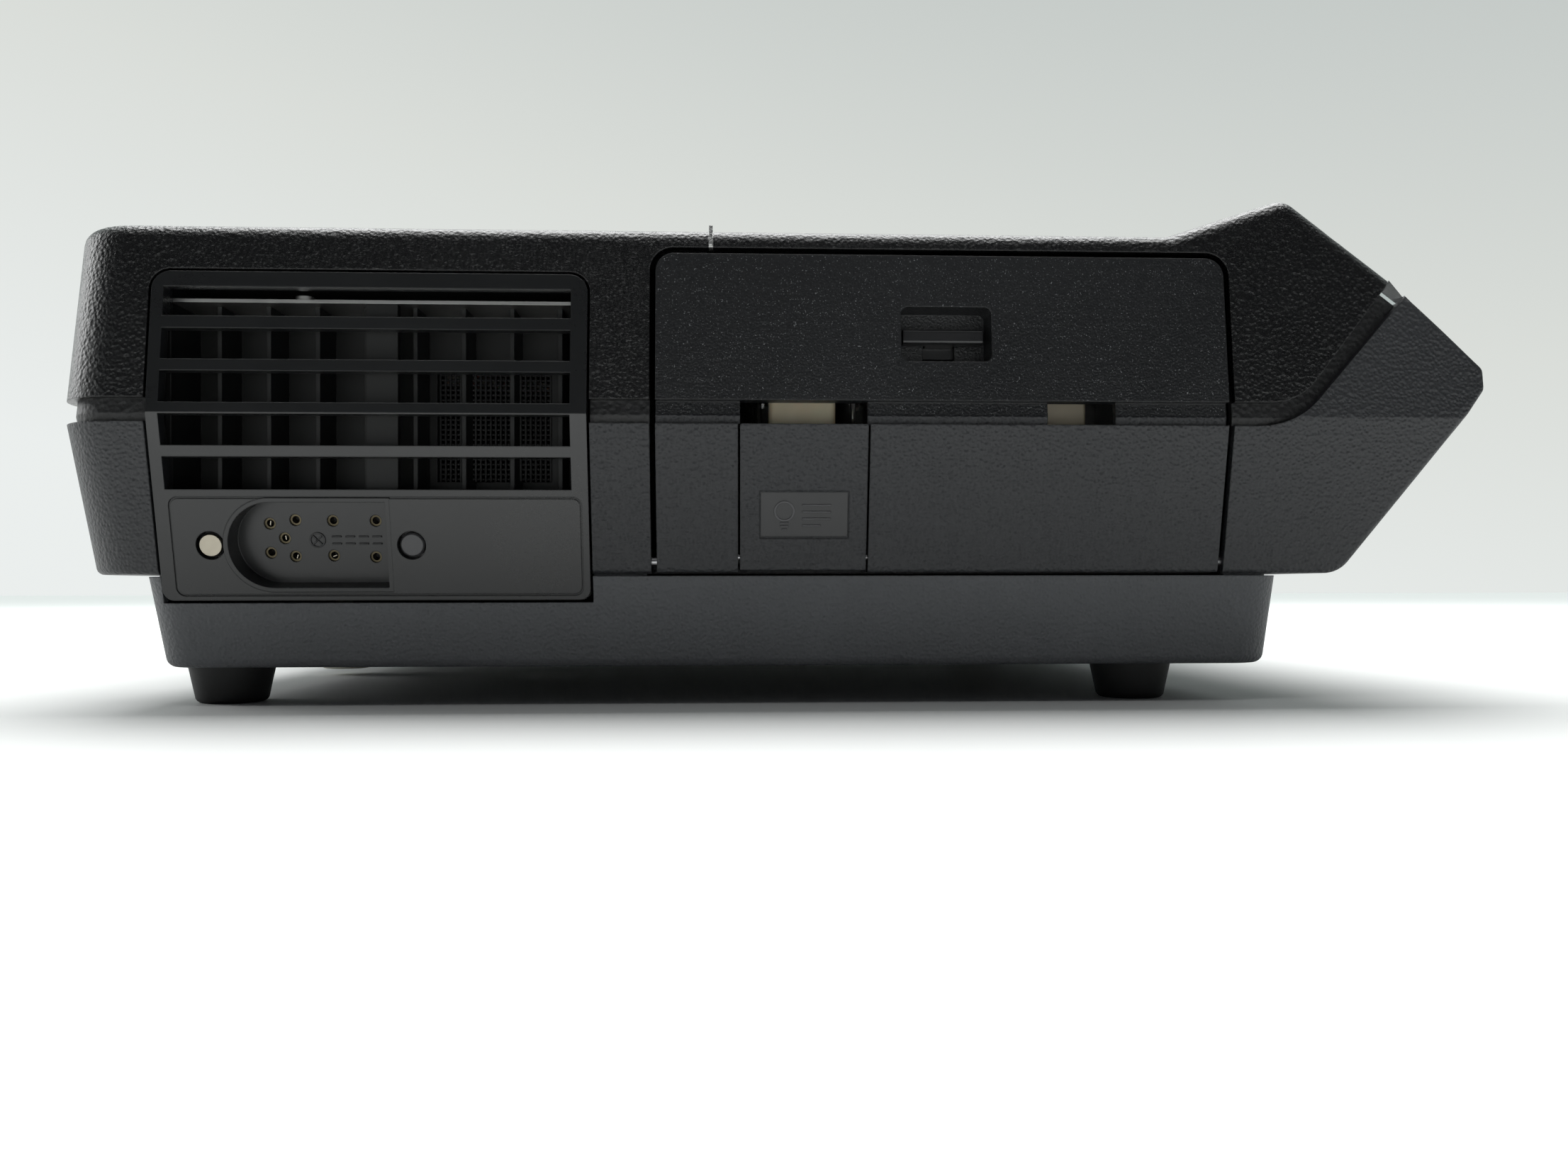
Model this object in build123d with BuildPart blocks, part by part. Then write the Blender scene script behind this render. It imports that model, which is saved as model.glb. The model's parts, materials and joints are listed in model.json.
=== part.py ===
from build123d import *
import os
from math import atan2, cos, degrees, pi, radians, sin, tan

# Rotary-tray slide projector, without its tray. Millimetres.
# +X is the control end, -X the lens end, -Y the lamp-door side, +Z up, and Z = 0 is the table.

# ---- driving dimensions -------------------------------------------------------------------------
WALL = 2.6                      # moulded shell wall
BELT_Z = 80.0                   # height of the widest line round the body
HALF_WIDTH = 149.0              # half width at that line
SIDE_LEAN_UP = 6.5              # degrees that the sides lean in above it
SIDE_LEAN_DOWN = 12.0           # degrees that the sides lean in below it
FRONT_X = -192.5                # lens end at the belt line
FRONT_LEAN_UP = 3.0
FRONT_LEAN_DOWN = 5.4
CORNER_R = 18.0                 # upright corners at the lens end
DECK_Z = 132.0                  # top deck
SKIRT_Z = 37.0                  # underside of the lower shell
GROOVE_LOW_Z = 77.6             # top edge of the lower shell
GROOVE_HIGH_Z = 84.0            # bottom edge of the upper shell
VALLEY = (113.3, 132.0)         # (x, z) where the deck turns up to the control hump
PEAK = (147.0, 143.4)
UPPER_LIP = (176.0, 120.0)      # end of the upper shell on the sloping control face
LOWER_LIP = (179.8, 115.0)      # start of the lower shell on that face
NOSE_TOP = (200.5, 93.8)
NOSE_LOW = (200.5, 88.0)
HEEL = (163.3, 37.0)            # where the slope under the nose meets the skirt
BASE_FRONT_X = -172.5
BASE_REAR_X = 148.4
BASE_Z = 11.0                   # underside of the base pan
BASE_TOP_Z = 36.4
FEET_X = (-155.9, 110.9)
FEET_Y = 114.0
TRAY_X = -15.2                  # tray axis and slide plane
TRAY_R = 122.5
OPTIC_Y = -88.0                 # optical axis, parallel to X
OPTIC_Z = 92.0
DOOR_X = (-30.3, 127.6)         # lamp door, on the -Y side
DOOR_Z = (37.4, 124.9)
DOOR_GAP = 1.6
FLAP_X = (-7.3, 27.7)           # reading-light flap, in the lower half of the door
GRILLE_X = (-164.8, -48.7)      # exhaust grille
GRILLE_Z = (29.8, 118.5)
RUN = 0.05                      # radial clearance of a pin in its bore
FREE = 0.4                      # clearance round a part that moves


def side_y(z, inset=0.0):
    """Half width of the body at height z, less an inset."""
    lean = SIDE_LEAN_UP if z > BELT_Z else SIDE_LEAN_DOWN
    return HALF_WIDTH - abs(z - BELT_Z) * tan(radians(lean)) - inset


def front_x(z, inset=0.0):
    """X of the lens end at height z, with an inset."""
    lean = FRONT_LEAN_UP if z > BELT_Z else FRONT_LEAN_DOWN
    return FRONT_X + abs(z - BELT_Z) * tan(radians(lean)) + inset


def block(x, y, z):
    """A plain box between two limits on each axis."""
    with BuildPart() as tool:
        with Locations(((x[0] + x[1]) / 2, (y[0] + y[1]) / 2, (z[0] + z[1]) / 2)):
            Box(x[1] - x[0], y[1] - y[0], z[1] - z[0])
    return tool.part


def drafted_wall(z_far, inset):
    """The leaning walls on one side of the belt line, rounded at the lens end, far past the nose."""
    far_past_nose = 240.0
    with BuildPart() as walls:
        for z in (BELT_Z, z_far):
            x0 = front_x(z, inset)
            with BuildSketch(Plane.XY.offset(z)):
                with Locations(((x0 + far_past_nose) / 2, 0)):
                    RectangleRounded(
                        far_past_nose - x0, 2 * side_y(z, inset), CORNER_R - inset
                    )
        loft()
    return walls.part


def body_profile(inset=0.0):
    """Side view of the whole body, in X and Z."""
    with BuildSketch(Plane.XZ) as profile:
        with BuildLine():
            Polyline(
                (-230, DECK_Z), VALLEY, PEAK, UPPER_LIP, LOWER_LIP, NOSE_TOP, NOSE_LOW,
                HEEL, (-230, SKIRT_Z), close=True,
            )
        make_face()
        for corner, radius in ((VALLEY, 12), (PEAK, 6), (NOSE_TOP, 2.5), (NOSE_LOW, 2.5), (HEEL, 8)):
            fillet(profile.vertices().sort_by_distance((corner[0], corner[1], 0))[0], radius)
        if inset:
            offset(amount=-inset, kind=Kind.INTERSECTION)
    return profile.sketch


def body(inset=0.0, rounded=False):
    """The whole body as one solid, inset from the outside; rounded adds its outer edge radii."""
    with BuildPart() as solid:
        extrude(body_profile(inset), amount=HALF_WIDTH + 5, both=True)
        add(drafted_wall(PEAK[1] + 3, inset) + drafted_wall(SKIRT_Z - 3, inset), mode=Mode.INTERSECT)
        if rounded:
            deck_edges = solid.edges().filter_by(lambda e: e.center().Z > DECK_Z - 0.1)
            rim = deck_edges.filter_by(lambda e: abs(e.center().Y) > 100 or e.center().X < -150)
            fillet(rim, 5)
            skirt = solid.edges().filter_by(lambda e: e.center().Z < SKIRT_Z + 0.1)
            fillet(skirt.filter_by(lambda e: abs(e.center().Y) > 100 or e.center().X < -150), 2)
            lower_face = solid.edges().filter_by(
                lambda e: abs(e.center().Y) > 100 and e.center().X > LOWER_LIP[0] and e.center().Z > NOSE_TOP[1]
            )
            fillet(lower_face, 1.2)
    return solid.part


def above_groove():
    """Everything above the upper edge of the groove, as a prism across the body."""
    return groove_prism(GROOVE_HIGH_Z, UPPER_LIP, 51.6, 17, DECK_Z + 60)


def below_groove():
    """Everything below the lower edge of the groove, as a prism across the body."""
    return groove_prism(GROOVE_LOW_Z, LOWER_LIP, 48.2, 22, -10)


def groove_prism(z, lip, slope, radius, z_far):
    """A prism on one side of a line that runs level at z, then bends up to a lip on the control face."""
    past = 60
    bend_x = lip[0] - (lip[1] - z) / tan(radians(slope))
    far = (lip[0] + past * cos(radians(slope)), lip[1] + past * sin(radians(slope)))
    with BuildSketch(Plane.XZ) as side:
        with BuildLine():
            Polyline((-230, z), (bend_x, z), far, (260, far[1]), (260, z_far), (-230, z_far), close=True)
        make_face()
        fillet(side.vertices().sort_by_distance((bend_x, z, 0))[0], radius)
    with BuildPart() as prism:
        extrude(side.sketch, amount=HALF_WIDTH + 20, both=True)
    return prism.part


def save(piece, name):
    """Labels a finished piece and writes it as its own STEP file."""
    piece.label = name
    export_step(piece, f"parts/{name}.step")



os.makedirs("parts", exist_ok=True)

# ---- shared tools, cut from every shell they pass through ---------------------------------------
FULL = body(0, True)
INNER = body(WALL)
BELT_INNER = body(2 * WALL)
ABOVE = above_groove()
BELOW = below_groove()
FAR_Y = HALF_WIDTH + 20
NEAR_SIDE = (-FAR_Y, -100)
CONTROL_TILT = degrees(atan2(PEAK[1] - UPPER_LIP[1], UPPER_LIP[0] - PEAK[0]))
NOSE_TILT = degrees(atan2(LOWER_LIP[1] - NOSE_TOP[1], NOSE_TOP[0] - LOWER_LIP[0]))


def side_window(x, z, radius, y=NEAR_SIDE, low_radius=0.0):
    """A prism through a side wall, with its upper corners rounded, and its lower ones if asked."""
    with BuildSketch(Plane.XZ) as outline:
        with Locations(((x[0] + x[1]) / 2, (z[0] + z[1]) / 2)):
            Rectangle(x[1] - x[0], z[1] - z[0])
        fillet(outline.vertices().group_by(Axis.Y)[-1], radius)
        if low_radius:
            fillet(outline.vertices().group_by(Axis.Y)[0], low_radius)
    with BuildPart() as prism:
        extrude(outline.sketch, amount=-y[0])
        add(block((x[0] - 1, x[1] + 1), (y[1], 0), (z[0] - 1, z[1] + 1)), mode=Mode.SUBTRACT)
    return prism.part


def grown(limits, margin):
    """Two limits, moved apart by a margin."""
    return (limits[0] - margin, limits[1] + margin)


def bar_along_x(x, y, z, radius):
    """A round bar along X."""
    with BuildPart() as tool:
        with Locations(((x[0] + x[1]) / 2, y, z)):
            Cylinder(radius, x[1] - x[0], rotation=(0, 90, 0))
    return tool.part


def bar_along_y(x, y, z, radius):
    """A round bar along Y."""
    with BuildPart() as tool:
        with Locations((x, (y[0] + y[1]) / 2, z)):
            Cylinder(radius, y[1] - y[0], rotation=(90, 0, 0))
    return tool.part


def upright_bar(x, y, z, radius):
    """A round bar along Z."""
    with BuildPart() as tool:
        with Locations((x, y, (z[0] + z[1]) / 2)):
            Cylinder(radius, z[1] - z[0])
    return tool.part


def upright_cone(x, y, z, low_radius, high_radius):
    """A cone along Z, between two heights."""
    with BuildPart() as tool:
        with Locations((x, y, (z[0] + z[1]) / 2)):
            Cone(low_radius, high_radius, z[1] - z[0])
    return tool.part


def ball(x, y, z, radius):
    """A ball about a point."""
    with BuildPart() as tool:
        with Locations((x, y, z)):
            Sphere(radius)
    return tool.part


LENS_HOLE_R = 34.4
WHEEL_X, WHEEL_Y = -165.0, -51.0        # focus shaft, upright
WHEEL_Z = (50.0, 59.0)
WHEEL_R = 28.4
LENS_HOLE = bar_along_x((-215, -180), OPTIC_Y, OPTIC_Z, LENS_HOLE_R)
WHEEL_SLOT = block((-215, -180), (WHEEL_Y - 20, WHEEL_Y + 20), grown(WHEEL_Z, 0.9))
DOOR_HOLE = side_window(grown(DOOR_X, DOOR_GAP), (30, DOOR_Z[1] + DOOR_GAP), 6.6, (-FAR_Y, -132))
GRILLE_HOLE = side_window(grown(GRILLE_X, 0.7), (20, GRILLE_Z[1] + 0.7), 5.7, (-FAR_Y, -134))
HINGE_Y, HINGE_Z = -137.4, 40.4         # lamp-door hinge, along X
HINGE_PIN_R = 1.3
HANDLE_X = (-60.0, 60.0)                # grip pocket in the far side
HANDLE_Z = (92.0, 119.0)
HANDLE_HOLE = side_window(HANDLE_X, HANDLE_Z, 5, (-FAR_Y, -120), 5).mirror(Plane.XZ)

HANDLE_Y, HANDLE_PIVOT_Z = 139.0, 97.5
HANDLE_PIN_R = 2.0

# ---- upper shell --------------------------------------------------------------------------------
INDEX_RIB = 1.0                         # width of the rib that marks the slide gate
CONTROL_PLANE = Plane(
    origin=((PEAK[0] + UPPER_LIP[0]) / 2 + 1.0, 0, (PEAK[1] + UPPER_LIP[1]) / 2 - 0.8),
    x_dir=(0, 1, 0),
    z_dir=(sin(radians(CONTROL_TILT)), 0, cos(radians(CONTROL_TILT))),
)
PANEL_SIZE = (262.0, 24.0)
with BuildPart() as upper_shell:
    add(FULL)
    add(INNER, mode=Mode.SUBTRACT)
    add(ABOVE, mode=Mode.INTERSECT)
    with BuildSketch(Plane.XY.offset(DECK_Z + 5)):
        with Locations((TRAY_X, 0)):
            Circle(TRAY_R - 4)
    extrude(amount=-12, mode=Mode.SUBTRACT)
    with BuildSketch(CONTROL_PLANE.offset(3)):
        RectangleRounded(*PANEL_SIZE, 3)
    extrude(amount=-12, mode=Mode.SUBTRACT)
    for hole in (LENS_HOLE, DOOR_HOLE, GRILLE_HOLE, HANDLE_HOLE):
        add(hole, mode=Mode.SUBTRACT)
    add((block(grown(HANDLE_X, 2), (131, FAR_Y), grown(HANDLE_Z, 2)) & FULL) - block(HANDLE_X, (133, FAR_Y), HANDLE_Z))
    for side in (-1, 1):
        add(bar_along_x(sorted((side * 59, side * 63)), HANDLE_Y, HANDLE_PIVOT_Z, HANDLE_PIN_R), mode=Mode.SUBTRACT)
    rib = body(-0.6) & block((TRAY_X - INDEX_RIB / 2, TRAY_X + INDEX_RIB / 2), (-FAR_Y, -127), (DOOR_Z[1] + 2, 160))
    add(rib - INNER - block((-30, 0), (-135.8, -120), (DECK_Z + 0.6, 160)))
save(upper_shell.part, "upper_shell")

REMOTE_PLANE = Plane(
    origin=(190.15, 70, 104.4),
    x_dir=(0, 1, 0),
    z_dir=(sin(radians(NOSE_TILT)), 0, cos(radians(NOSE_TILT))),
)

# ---- lower shell --------------------------------------------------------------------------------
FLOOR_OPENING = block((-166, 138), (-128, 128), (SKIRT_Z - 5, 60))
INTAKE_PITCH = 8.0
INTAKE_ROWS = 4
with BuildPart() as lower_shell:
    add(FULL)
    add(INNER, mode=Mode.SUBTRACT)
    add(BELOW, mode=Mode.INTERSECT)
    for hole in (FLOOR_OPENING, LENS_HOLE, WHEEL_SLOT, DOOR_HOLE, GRILLE_HOLE):
        add(hole, mode=Mode.SUBTRACT)
    add(block((-158.5, -90), (-136, -120), (30, 45)), mode=Mode.SUBTRACT)
    for row in range(INTAKE_ROWS):
        z = 46 + row * INTAKE_PITCH
        add(block((-90, -2), (120, FAR_Y), (z, z + 3.6)), mode=Mode.SUBTRACT)
        add(block((2, 90), (120, FAR_Y), (z, z + 3.6)), mode=Mode.SUBTRACT)
    for x in (DOOR_X[0] - DOOR_GAP - 5, DOOR_X[1] + DOOR_GAP):
        add(bar_along_x((x, x + 5), HINGE_Y, HINGE_Z, 2.8))
        add(block((x, x + 5), (HINGE_Y, HINGE_Y + 3), (SKIRT_Z + 1, HINGE_Z)))
        add(bar_along_x((x - 1, x + 6), HINGE_Y, HINGE_Z, HINGE_PIN_R), mode=Mode.SUBTRACT)
    with BuildSketch(REMOTE_PLANE):
        Circle(9.4)
    extrude(amount=8, both=True, mode=Mode.SUBTRACT)
save(lower_shell.part, "lower_shell")

def face_slab(deep, shallow):
    """A slab across the groove's upper end, between two depths below the control face."""
    middle = ((UPPER_LIP[0] + LOWER_LIP[0]) / 2, 0, (UPPER_LIP[1] + LOWER_LIP[1]) / 2)
    face = Plane(origin=middle, x_dir=(0, 1, 0), z_dir=(sin(radians(CONTROL_TILT)), 0, cos(radians(CONTROL_TILT))))
    with BuildPart() as slab:
        Box(2 * FAR_Y, 34, deep - shallow)
    return face * Pos(0, 0, -(deep + shallow) / 2) * slab.part


# ---- belt band, seen as the floor of the groove --------------------------------------------------
with BuildPart() as belt_band:
    add(INNER)
    add(BELT_INNER, mode=Mode.SUBTRACT)
    add(Pos(0, 0, 5) * ABOVE, mode=Mode.SUBTRACT)
    add(Pos(0, 0, -5) * BELOW, mode=Mode.SUBTRACT)
    for hole in (LENS_HOLE, DOOR_HOLE, GRILLE_HOLE):
        add(hole, mode=Mode.SUBTRACT)
    add(block((163, 215), (-136, 136), (60, 150)), mode=Mode.SUBTRACT)
    add(face_slab(4.42, -30), mode=Mode.SUBTRACT)
save(belt_band.part, "belt_band")

# ---- clear light bar across the control face ------------------------------------------------------
with BuildPart() as panel_light_bar:
    add(body(0.9))
    add(ABOVE, mode=Mode.SUBTRACT)
    add(BELOW, mode=Mode.SUBTRACT)
    add(face_slab(4.4, -5), mode=Mode.INTERSECT)
save(panel_light_bar.part, "panel_light_bar")

# ---- base pan -----------------------------------------------------------------------------------
def pan_solid(inset, z_low):
    """The drafted outline of the base pan, inset on every side."""
    with BuildPart() as solid:
        for z, x0, x1, half in ((BASE_TOP_Z, BASE_FRONT_X, BASE_REAR_X, 139.5), (BASE_Z, -169.8, 147.1, 134.0)):
            with BuildSketch(Plane.XY.offset(z)):
                with Locations(((x0 + x1) / 2, 0)):
                    RectangleRounded(x1 - x0 - 2 * inset, 2 * (half - inset), 12 - inset)
        loft()
        add(block((-200, 200), (-160, 160), (z_low, 60)), mode=Mode.INTERSECT)
    return solid.part


def at_points(tool, points):
    """Copies of one tool, moved to each point."""
    return [Pos(*point) * tool for point in points]


ELEVATION_X = -158.0
STEM_R = 4.0
BOSSES = [(x, y, 0) for x in (-120, 0, 120) for y in (-100, 100)]
MAINS_Y = (58.0, 86.0)
with BuildPart() as base_pan:
    add(pan_solid(0, 0))
    fillet(base_pan.edges().group_by(Axis.Z)[0], 3)
    add(pan_solid(WALL, BASE_Z + WALL), mode=Mode.SUBTRACT)
    add((pan_solid(WALL, 33) - pan_solid(2 * WALL, 30)))
    add(pan_solid(WALL, 35.4).moved(Pos(0, 0, 0.6)) - pan_solid(2 * WALL, 30).moved(Pos(0, 0, 0.6)))
    add(block(grown(DOOR_X, 3), (-136.9, -130), (33, 40)), mode=Mode.SUBTRACT)
    add(block(grown(GRILLE_X, 0.7), (-150, -130), (GRILLE_Z[0] - 0.7, 40)), mode=Mode.SUBTRACT)
    for boss in at_points(upright_bar(0, 0, (BASE_Z + 1, 40), 5), BOSSES):
        add(boss)
    for row in range(7):
        add(block((-90 + row * 12, -84 + row * 12), (-60, 60), (0, 20)), mode=Mode.SUBTRACT)
    add(block((-180, -165), (-13.6, 13.6), (BASE_Z + WALL, 20.8)), mode=Mode.SUBTRACT)
    for side in (-1, 1):
        add(block((-164, -152), sorted((side * 16.8, side * 20.5)), (BASE_Z + 1, 24)))
    add(block((-164, -152), (-20.5, 20.5), (20.8, 24)))
    add(upright_bar(ELEVATION_X, 0, (0, 40), STEM_R + RUN), mode=Mode.SUBTRACT)
    add(block((130, 160), MAINS_Y, (15, 33)), mode=Mode.SUBTRACT)
save(base_pan.part, "base_pan")

with BuildPart() as foot:
    add(upright_cone(0, 0, (0, BASE_Z), 9.7, 12))
    fillet(foot.edges().group_by(Axis.Z)[0], 2)
with BuildPart() as feet:
    for x in FEET_X:
        for side in (-1, 1):
            add(foot.part.moved(Pos(x, side * FEET_Y, 0)))
save(feet.part, "feet")

with BuildPart() as base_screws:
    for head in at_points(upright_bar(0, 0, (9.6, BASE_Z), 3.6), BOSSES):
        add(head)
save(base_screws.part, "base_screws")

with BuildPart() as elevation_wheel:
    add(upright_bar(ELEVATION_X, 0, (14.1, 20.3), 16))
    with Locations((ELEVATION_X, 0, 17)):
        with PolarLocations(16.4, 30):
            Cylinder(1.0, 8, mode=Mode.SUBTRACT)
    add(upright_bar(ELEVATION_X, 0, (10, 25), STEM_R + RUN), mode=Mode.SUBTRACT)
save(elevation_wheel.part, "elevation_wheel")

with BuildPart() as elevation_foot:
    add(upright_bar(ELEVATION_X, 0, (5, 34), STEM_R))
    add(upright_bar(ELEVATION_X, 0, (2.5, 6.5), 9))
    fillet(elevation_foot.edges().group_by(Axis.Z)[0], 1.2)
save(elevation_foot.part, "elevation_foot")

# ---- chassis and what stands on it ----------------------------------------------------------------
CHASSIS_Z = (40.0, 42.0)
with BuildPart() as chassis_plate:
    add(block((-150, 132), (-118, 118), CHASSIS_Z))
    for x in (-100, -60, 10):
        add(block((x, x + 24), (-20, 20), (38, 44)), mode=Mode.SUBTRACT)
    fillet(chassis_plate.edges().filter_by(Axis.Z).group_by(Axis.X)[0], 8)
save(chassis_plate.part, "chassis_plate")

with BuildPart() as transformer:
    add(block((44, 108), (62, 112), (CHASSIS_Z[1], 90)))
    add(block((58, 94), (56, 118), (48, 84)))
    fillet(transformer.edges().filter_by(Axis.Z), 2)
save(transformer.part, "transformer")

with BuildPart() as circuit_board:
    add(block((-132, -40), (42, 110), (48, 49.6)))
    for standoff in at_points(upright_bar(0, 0, (CHASSIS_Z[1], 48), 3), [(-126, 48, 0), (-46, 48, 0), (-126, 104, 0), (-46, 104, 0)]):
        add(standoff)
    for x, y, radius, height in ((-116, 62, 9, 28), (-94, 62, 7, 20), (-70, 60, 5, 14)):
        add(upright_bar(x, y, (49, 49.6 + height), radius))
    add(block((-112, -92), (82, 100), (49, 62)))
    add(block((-78, -56), (78, 104), (49, 57)))
save(circuit_board.part, "circuit_board")

# ---- blower -------------------------------------------------------------------------------------
FAN_X, FAN_Z = 62.0, 84.0
SHAFT_R = 3.0

with BuildPart() as fan_scroll:
    add(bar_along_y(FAN_X, (-56, -14), FAN_Z, 37.5))
    add(block((FAN_X - 26, FAN_X + 26), (-56, -14), (CHASSIS_Z[1], 66)))
    add(bar_along_y(FAN_X, (-54.4, -15.6), FAN_Z, 35.9), mode=Mode.SUBTRACT)
    add(bar_along_y(FAN_X, (-60, -50), FAN_Z, 20), mode=Mode.SUBTRACT)
    add(bar_along_y(FAN_X, (-20, -10), FAN_Z, 12), mode=Mode.SUBTRACT)
save(fan_scroll.part, "fan_scroll")

with BuildPart() as blower_wheel:
    add(bar_along_y(FAN_X, (-36, -34), FAN_Z, 30))
    add(bar_along_y(FAN_X, (-42, -28), FAN_Z, 7))
    with Locations(Plane(origin=(FAN_X, -35, FAN_Z), x_dir=(1, 0, 0), z_dir=(0, 1, 0))):
        with PolarLocations(27, 24):
            Box(5, 1.0, 28)
    add(bar_along_y(FAN_X, (-60, 0), FAN_Z, SHAFT_R), mode=Mode.SUBTRACT)
save(blower_wheel.part, "blower_wheel")

with BuildPart() as motor_shaft:
    add(bar_along_y(FAN_X, (-44, 38), FAN_Z, SHAFT_R))
save(motor_shaft.part, "motor_shaft")

with BuildPart() as motor_body:
    add(bar_along_y(FAN_X, (-12, 34), FAN_Z, 24))
    fillet(motor_body.edges(), 2)
    add(block((FAN_X - 14, FAN_X + 14), (-8, 30), (CHASSIS_Z[1], 66)))
    add(bar_along_y(FAN_X, (-20, 40), FAN_Z, SHAFT_R + RUN), mode=Mode.SUBTRACT)
save(motor_body.part, "motor_body")

# ---- lamp house -----------------------------------------------------------------------------------
HOUSE_X = (42.0, 118.0)
HOUSE_Y = (-122.0, -60.0)
HOUSE_Z = (62.0, 122.0)
SHEET = 1.2
with BuildPart() as lamp_house:
    add(block(HOUSE_X, HOUSE_Y, HOUSE_Z))
    add(
        block(grown(HOUSE_X, -SHEET), (HOUSE_Y[0] - 5, HOUSE_Y[1] - SHEET), grown(HOUSE_Z, -SHEET)),
        mode=Mode.SUBTRACT,
    )
    add(bar_along_x((40, 50), OPTIC_Y, OPTIC_Z, 24), mode=Mode.SUBTRACT)
    for row in range(6):
        add(block((52 + row * 10, 57 + row * 10), (-112, -72), (118, 126)), mode=Mode.SUBTRACT)
    for x in (46, 108):
        for y in (-118, -70):
            add(block((x, x + 6), (y, y + 6), (CHASSIS_Z[1], HOUSE_Z[0] + 0.5)))
save(lamp_house.part, "lamp_house")

CARRIER_Z = (HOUSE_Z[0] + SHEET, HOUSE_Z[0] + 2 * SHEET)
with BuildPart() as lamp_carrier:
    add(block((50, 112), (-121, -64), CARRIER_Z))
    add(block((72, 98), (-129, -120), CARRIER_Z))
save(lamp_carrier.part, "lamp_carrier")

with BuildPart() as lamp_pull:
    add(block((77.5, 93), (-130, -123.5), (CARRIER_Z[1], 89)))
    fillet(lamp_pull.edges().filter_by(Axis.Z), 1)
save(lamp_pull.part, "lamp_pull")

with BuildPart() as lamp_base:
    add(block((89, 101), (-100, -76), (CARRIER_Z[1], 104)))
    fillet(lamp_base.edges().filter_by(Axis.X), 1.5)
save(lamp_base.part, "lamp_base")

with BuildPart() as lamp_reflector:
    with BuildSketch():
        with BuildLine():
            CenterArc((62, 0), 26, 22, 68)
            Polyline((62 + 26 * cos(radians(22)), 26 * sin(radians(22))), (89, 9.6), (89, 6), (86, 6))
            Line((86, 6), (62 + 24.8 * cos(radians(20)), 24.8 * sin(radians(20))))
            CenterArc((62, 0), 24.8, 20, 70)
            Line((62, 24.8), (62, 26))
        make_face()
    revolve(axis=Axis.X)
save(lamp_reflector.part.moved(Pos(0, OPTIC_Y, OPTIC_Z)), "lamp_reflector")

with BuildPart() as lamp_capsule:
    add(bar_along_x((74, 89), OPTIC_Y, OPTIC_Z, 5.4))
    add(ball(74, OPTIC_Y, OPTIC_Z, 5.4))
save(lamp_capsule.part, "lamp_capsule")


def convex_lens(x, radius, sag):
    """A lens along X that bulges by the same sag on both faces, between two X limits at its middle."""
    with BuildPart() as glass:
        with BuildSketch():
            with BuildLine():
                Line((x[0], 0), (x[1], 0))
                RadiusArc((x[1], 0), (x[1] - sag, radius), -(radius**2 + sag**2) / (2 * sag))
                Line((x[1] - sag, radius), (x[0] + sag, radius))
                RadiusArc((x[0] + sag, radius), (x[0], 0), -(radius**2 + sag**2) / (2 * sag))
            make_face()
        revolve(axis=Axis.X)
    return glass.part.moved(Pos(0, OPTIC_Y, OPTIC_Z))


CONDENSERS = ((-4.0, 6.0), (22.0, 34.0))
with BuildPart() as condenser_lenses:
    add(convex_lens(CONDENSERS[0], 26, 3.5))
    add(convex_lens(CONDENSERS[1], 26, 4))
save(condenser_lenses.part, "condenser_lenses")

with BuildPart() as heat_glass:
    add(bar_along_x((13, 16), OPTIC_Y, OPTIC_Z, 26))
save(heat_glass.part, "heat_glass")

with BuildPart() as condenser_cradle:
    add(block((-7, 38), (-111, -65), (CHASSIS_Z[1], 78)))
    add(bar_along_x((-20, 60), OPTIC_Y, OPTIC_Z, 23), mode=Mode.SUBTRACT)
    for x in (CONDENSERS[0], (13, 16), CONDENSERS[1]):
        add(bar_along_x(x, OPTIC_Y, OPTIC_Z, 26), mode=Mode.SUBTRACT)
save(condenser_cradle.part, "condenser_cradle")

# ---- reading light ----------------------------------------------------------------------------------
with BuildPart() as reading_light_diffuser:
    add(block((0.8, 19.7), (-137, -132.5), (47, 87)))
    fillet(reading_light_diffuser.edges().filter_by(Axis.Z), 1.5)
    add(block((4, 16), (-133.5, -112), (47, 50)))
    add(block((4, 16), (-118, -112), (CHASSIS_Z[1], 50)))
save(reading_light_diffuser.part, "reading_light_diffuser")

# ---- slide gate and lifter ---------------------------------------------------------------------------
BED_Z = (126.4, DECK_Z - WALL)
with BuildPart() as slide_gate:
    add(block((TRAY_X - 4, TRAY_X + 4), (-118, -58), (62, BED_Z[0])))
    add(block((TRAY_X - 4, TRAY_X + 4), (-116, -100), (CHASSIS_Z[1], 64)))
    add(block((TRAY_X - 4, TRAY_X + 4), (-76, -62), (CHASSIS_Z[1], 64)))
    add(block((TRAY_X - 2.5, TRAY_X + 2.5), (-114, -62), (66, 140)), mode=Mode.SUBTRACT)
    add(block((TRAY_X - 10, TRAY_X + 10), (-107, -69), (75, 109)), mode=Mode.SUBTRACT)
    add(block((TRAY_X - 1.7, TRAY_X + 1.7), (-63, -50), (66, 92)), mode=Mode.SUBTRACT)
save(slide_gate.part, "slide_gate")

LIFTER_Y, LIFTER_Z = -30.0, 64.0
PIN_R = 2.0
with BuildPart() as slide_lifter:
    add(block((TRAY_X - 1, TRAY_X + 1), (-111, LIFTER_Y), (67, 72)))
    add(bar_along_x((TRAY_X - 2, TRAY_X + 2), LIFTER_Y, LIFTER_Z, 7))
    add(bar_along_x((TRAY_X - 5, TRAY_X + 5), LIFTER_Y, LIFTER_Z, PIN_R + RUN), mode=Mode.SUBTRACT)
save(slide_lifter.part, "slide_lifter")

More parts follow.
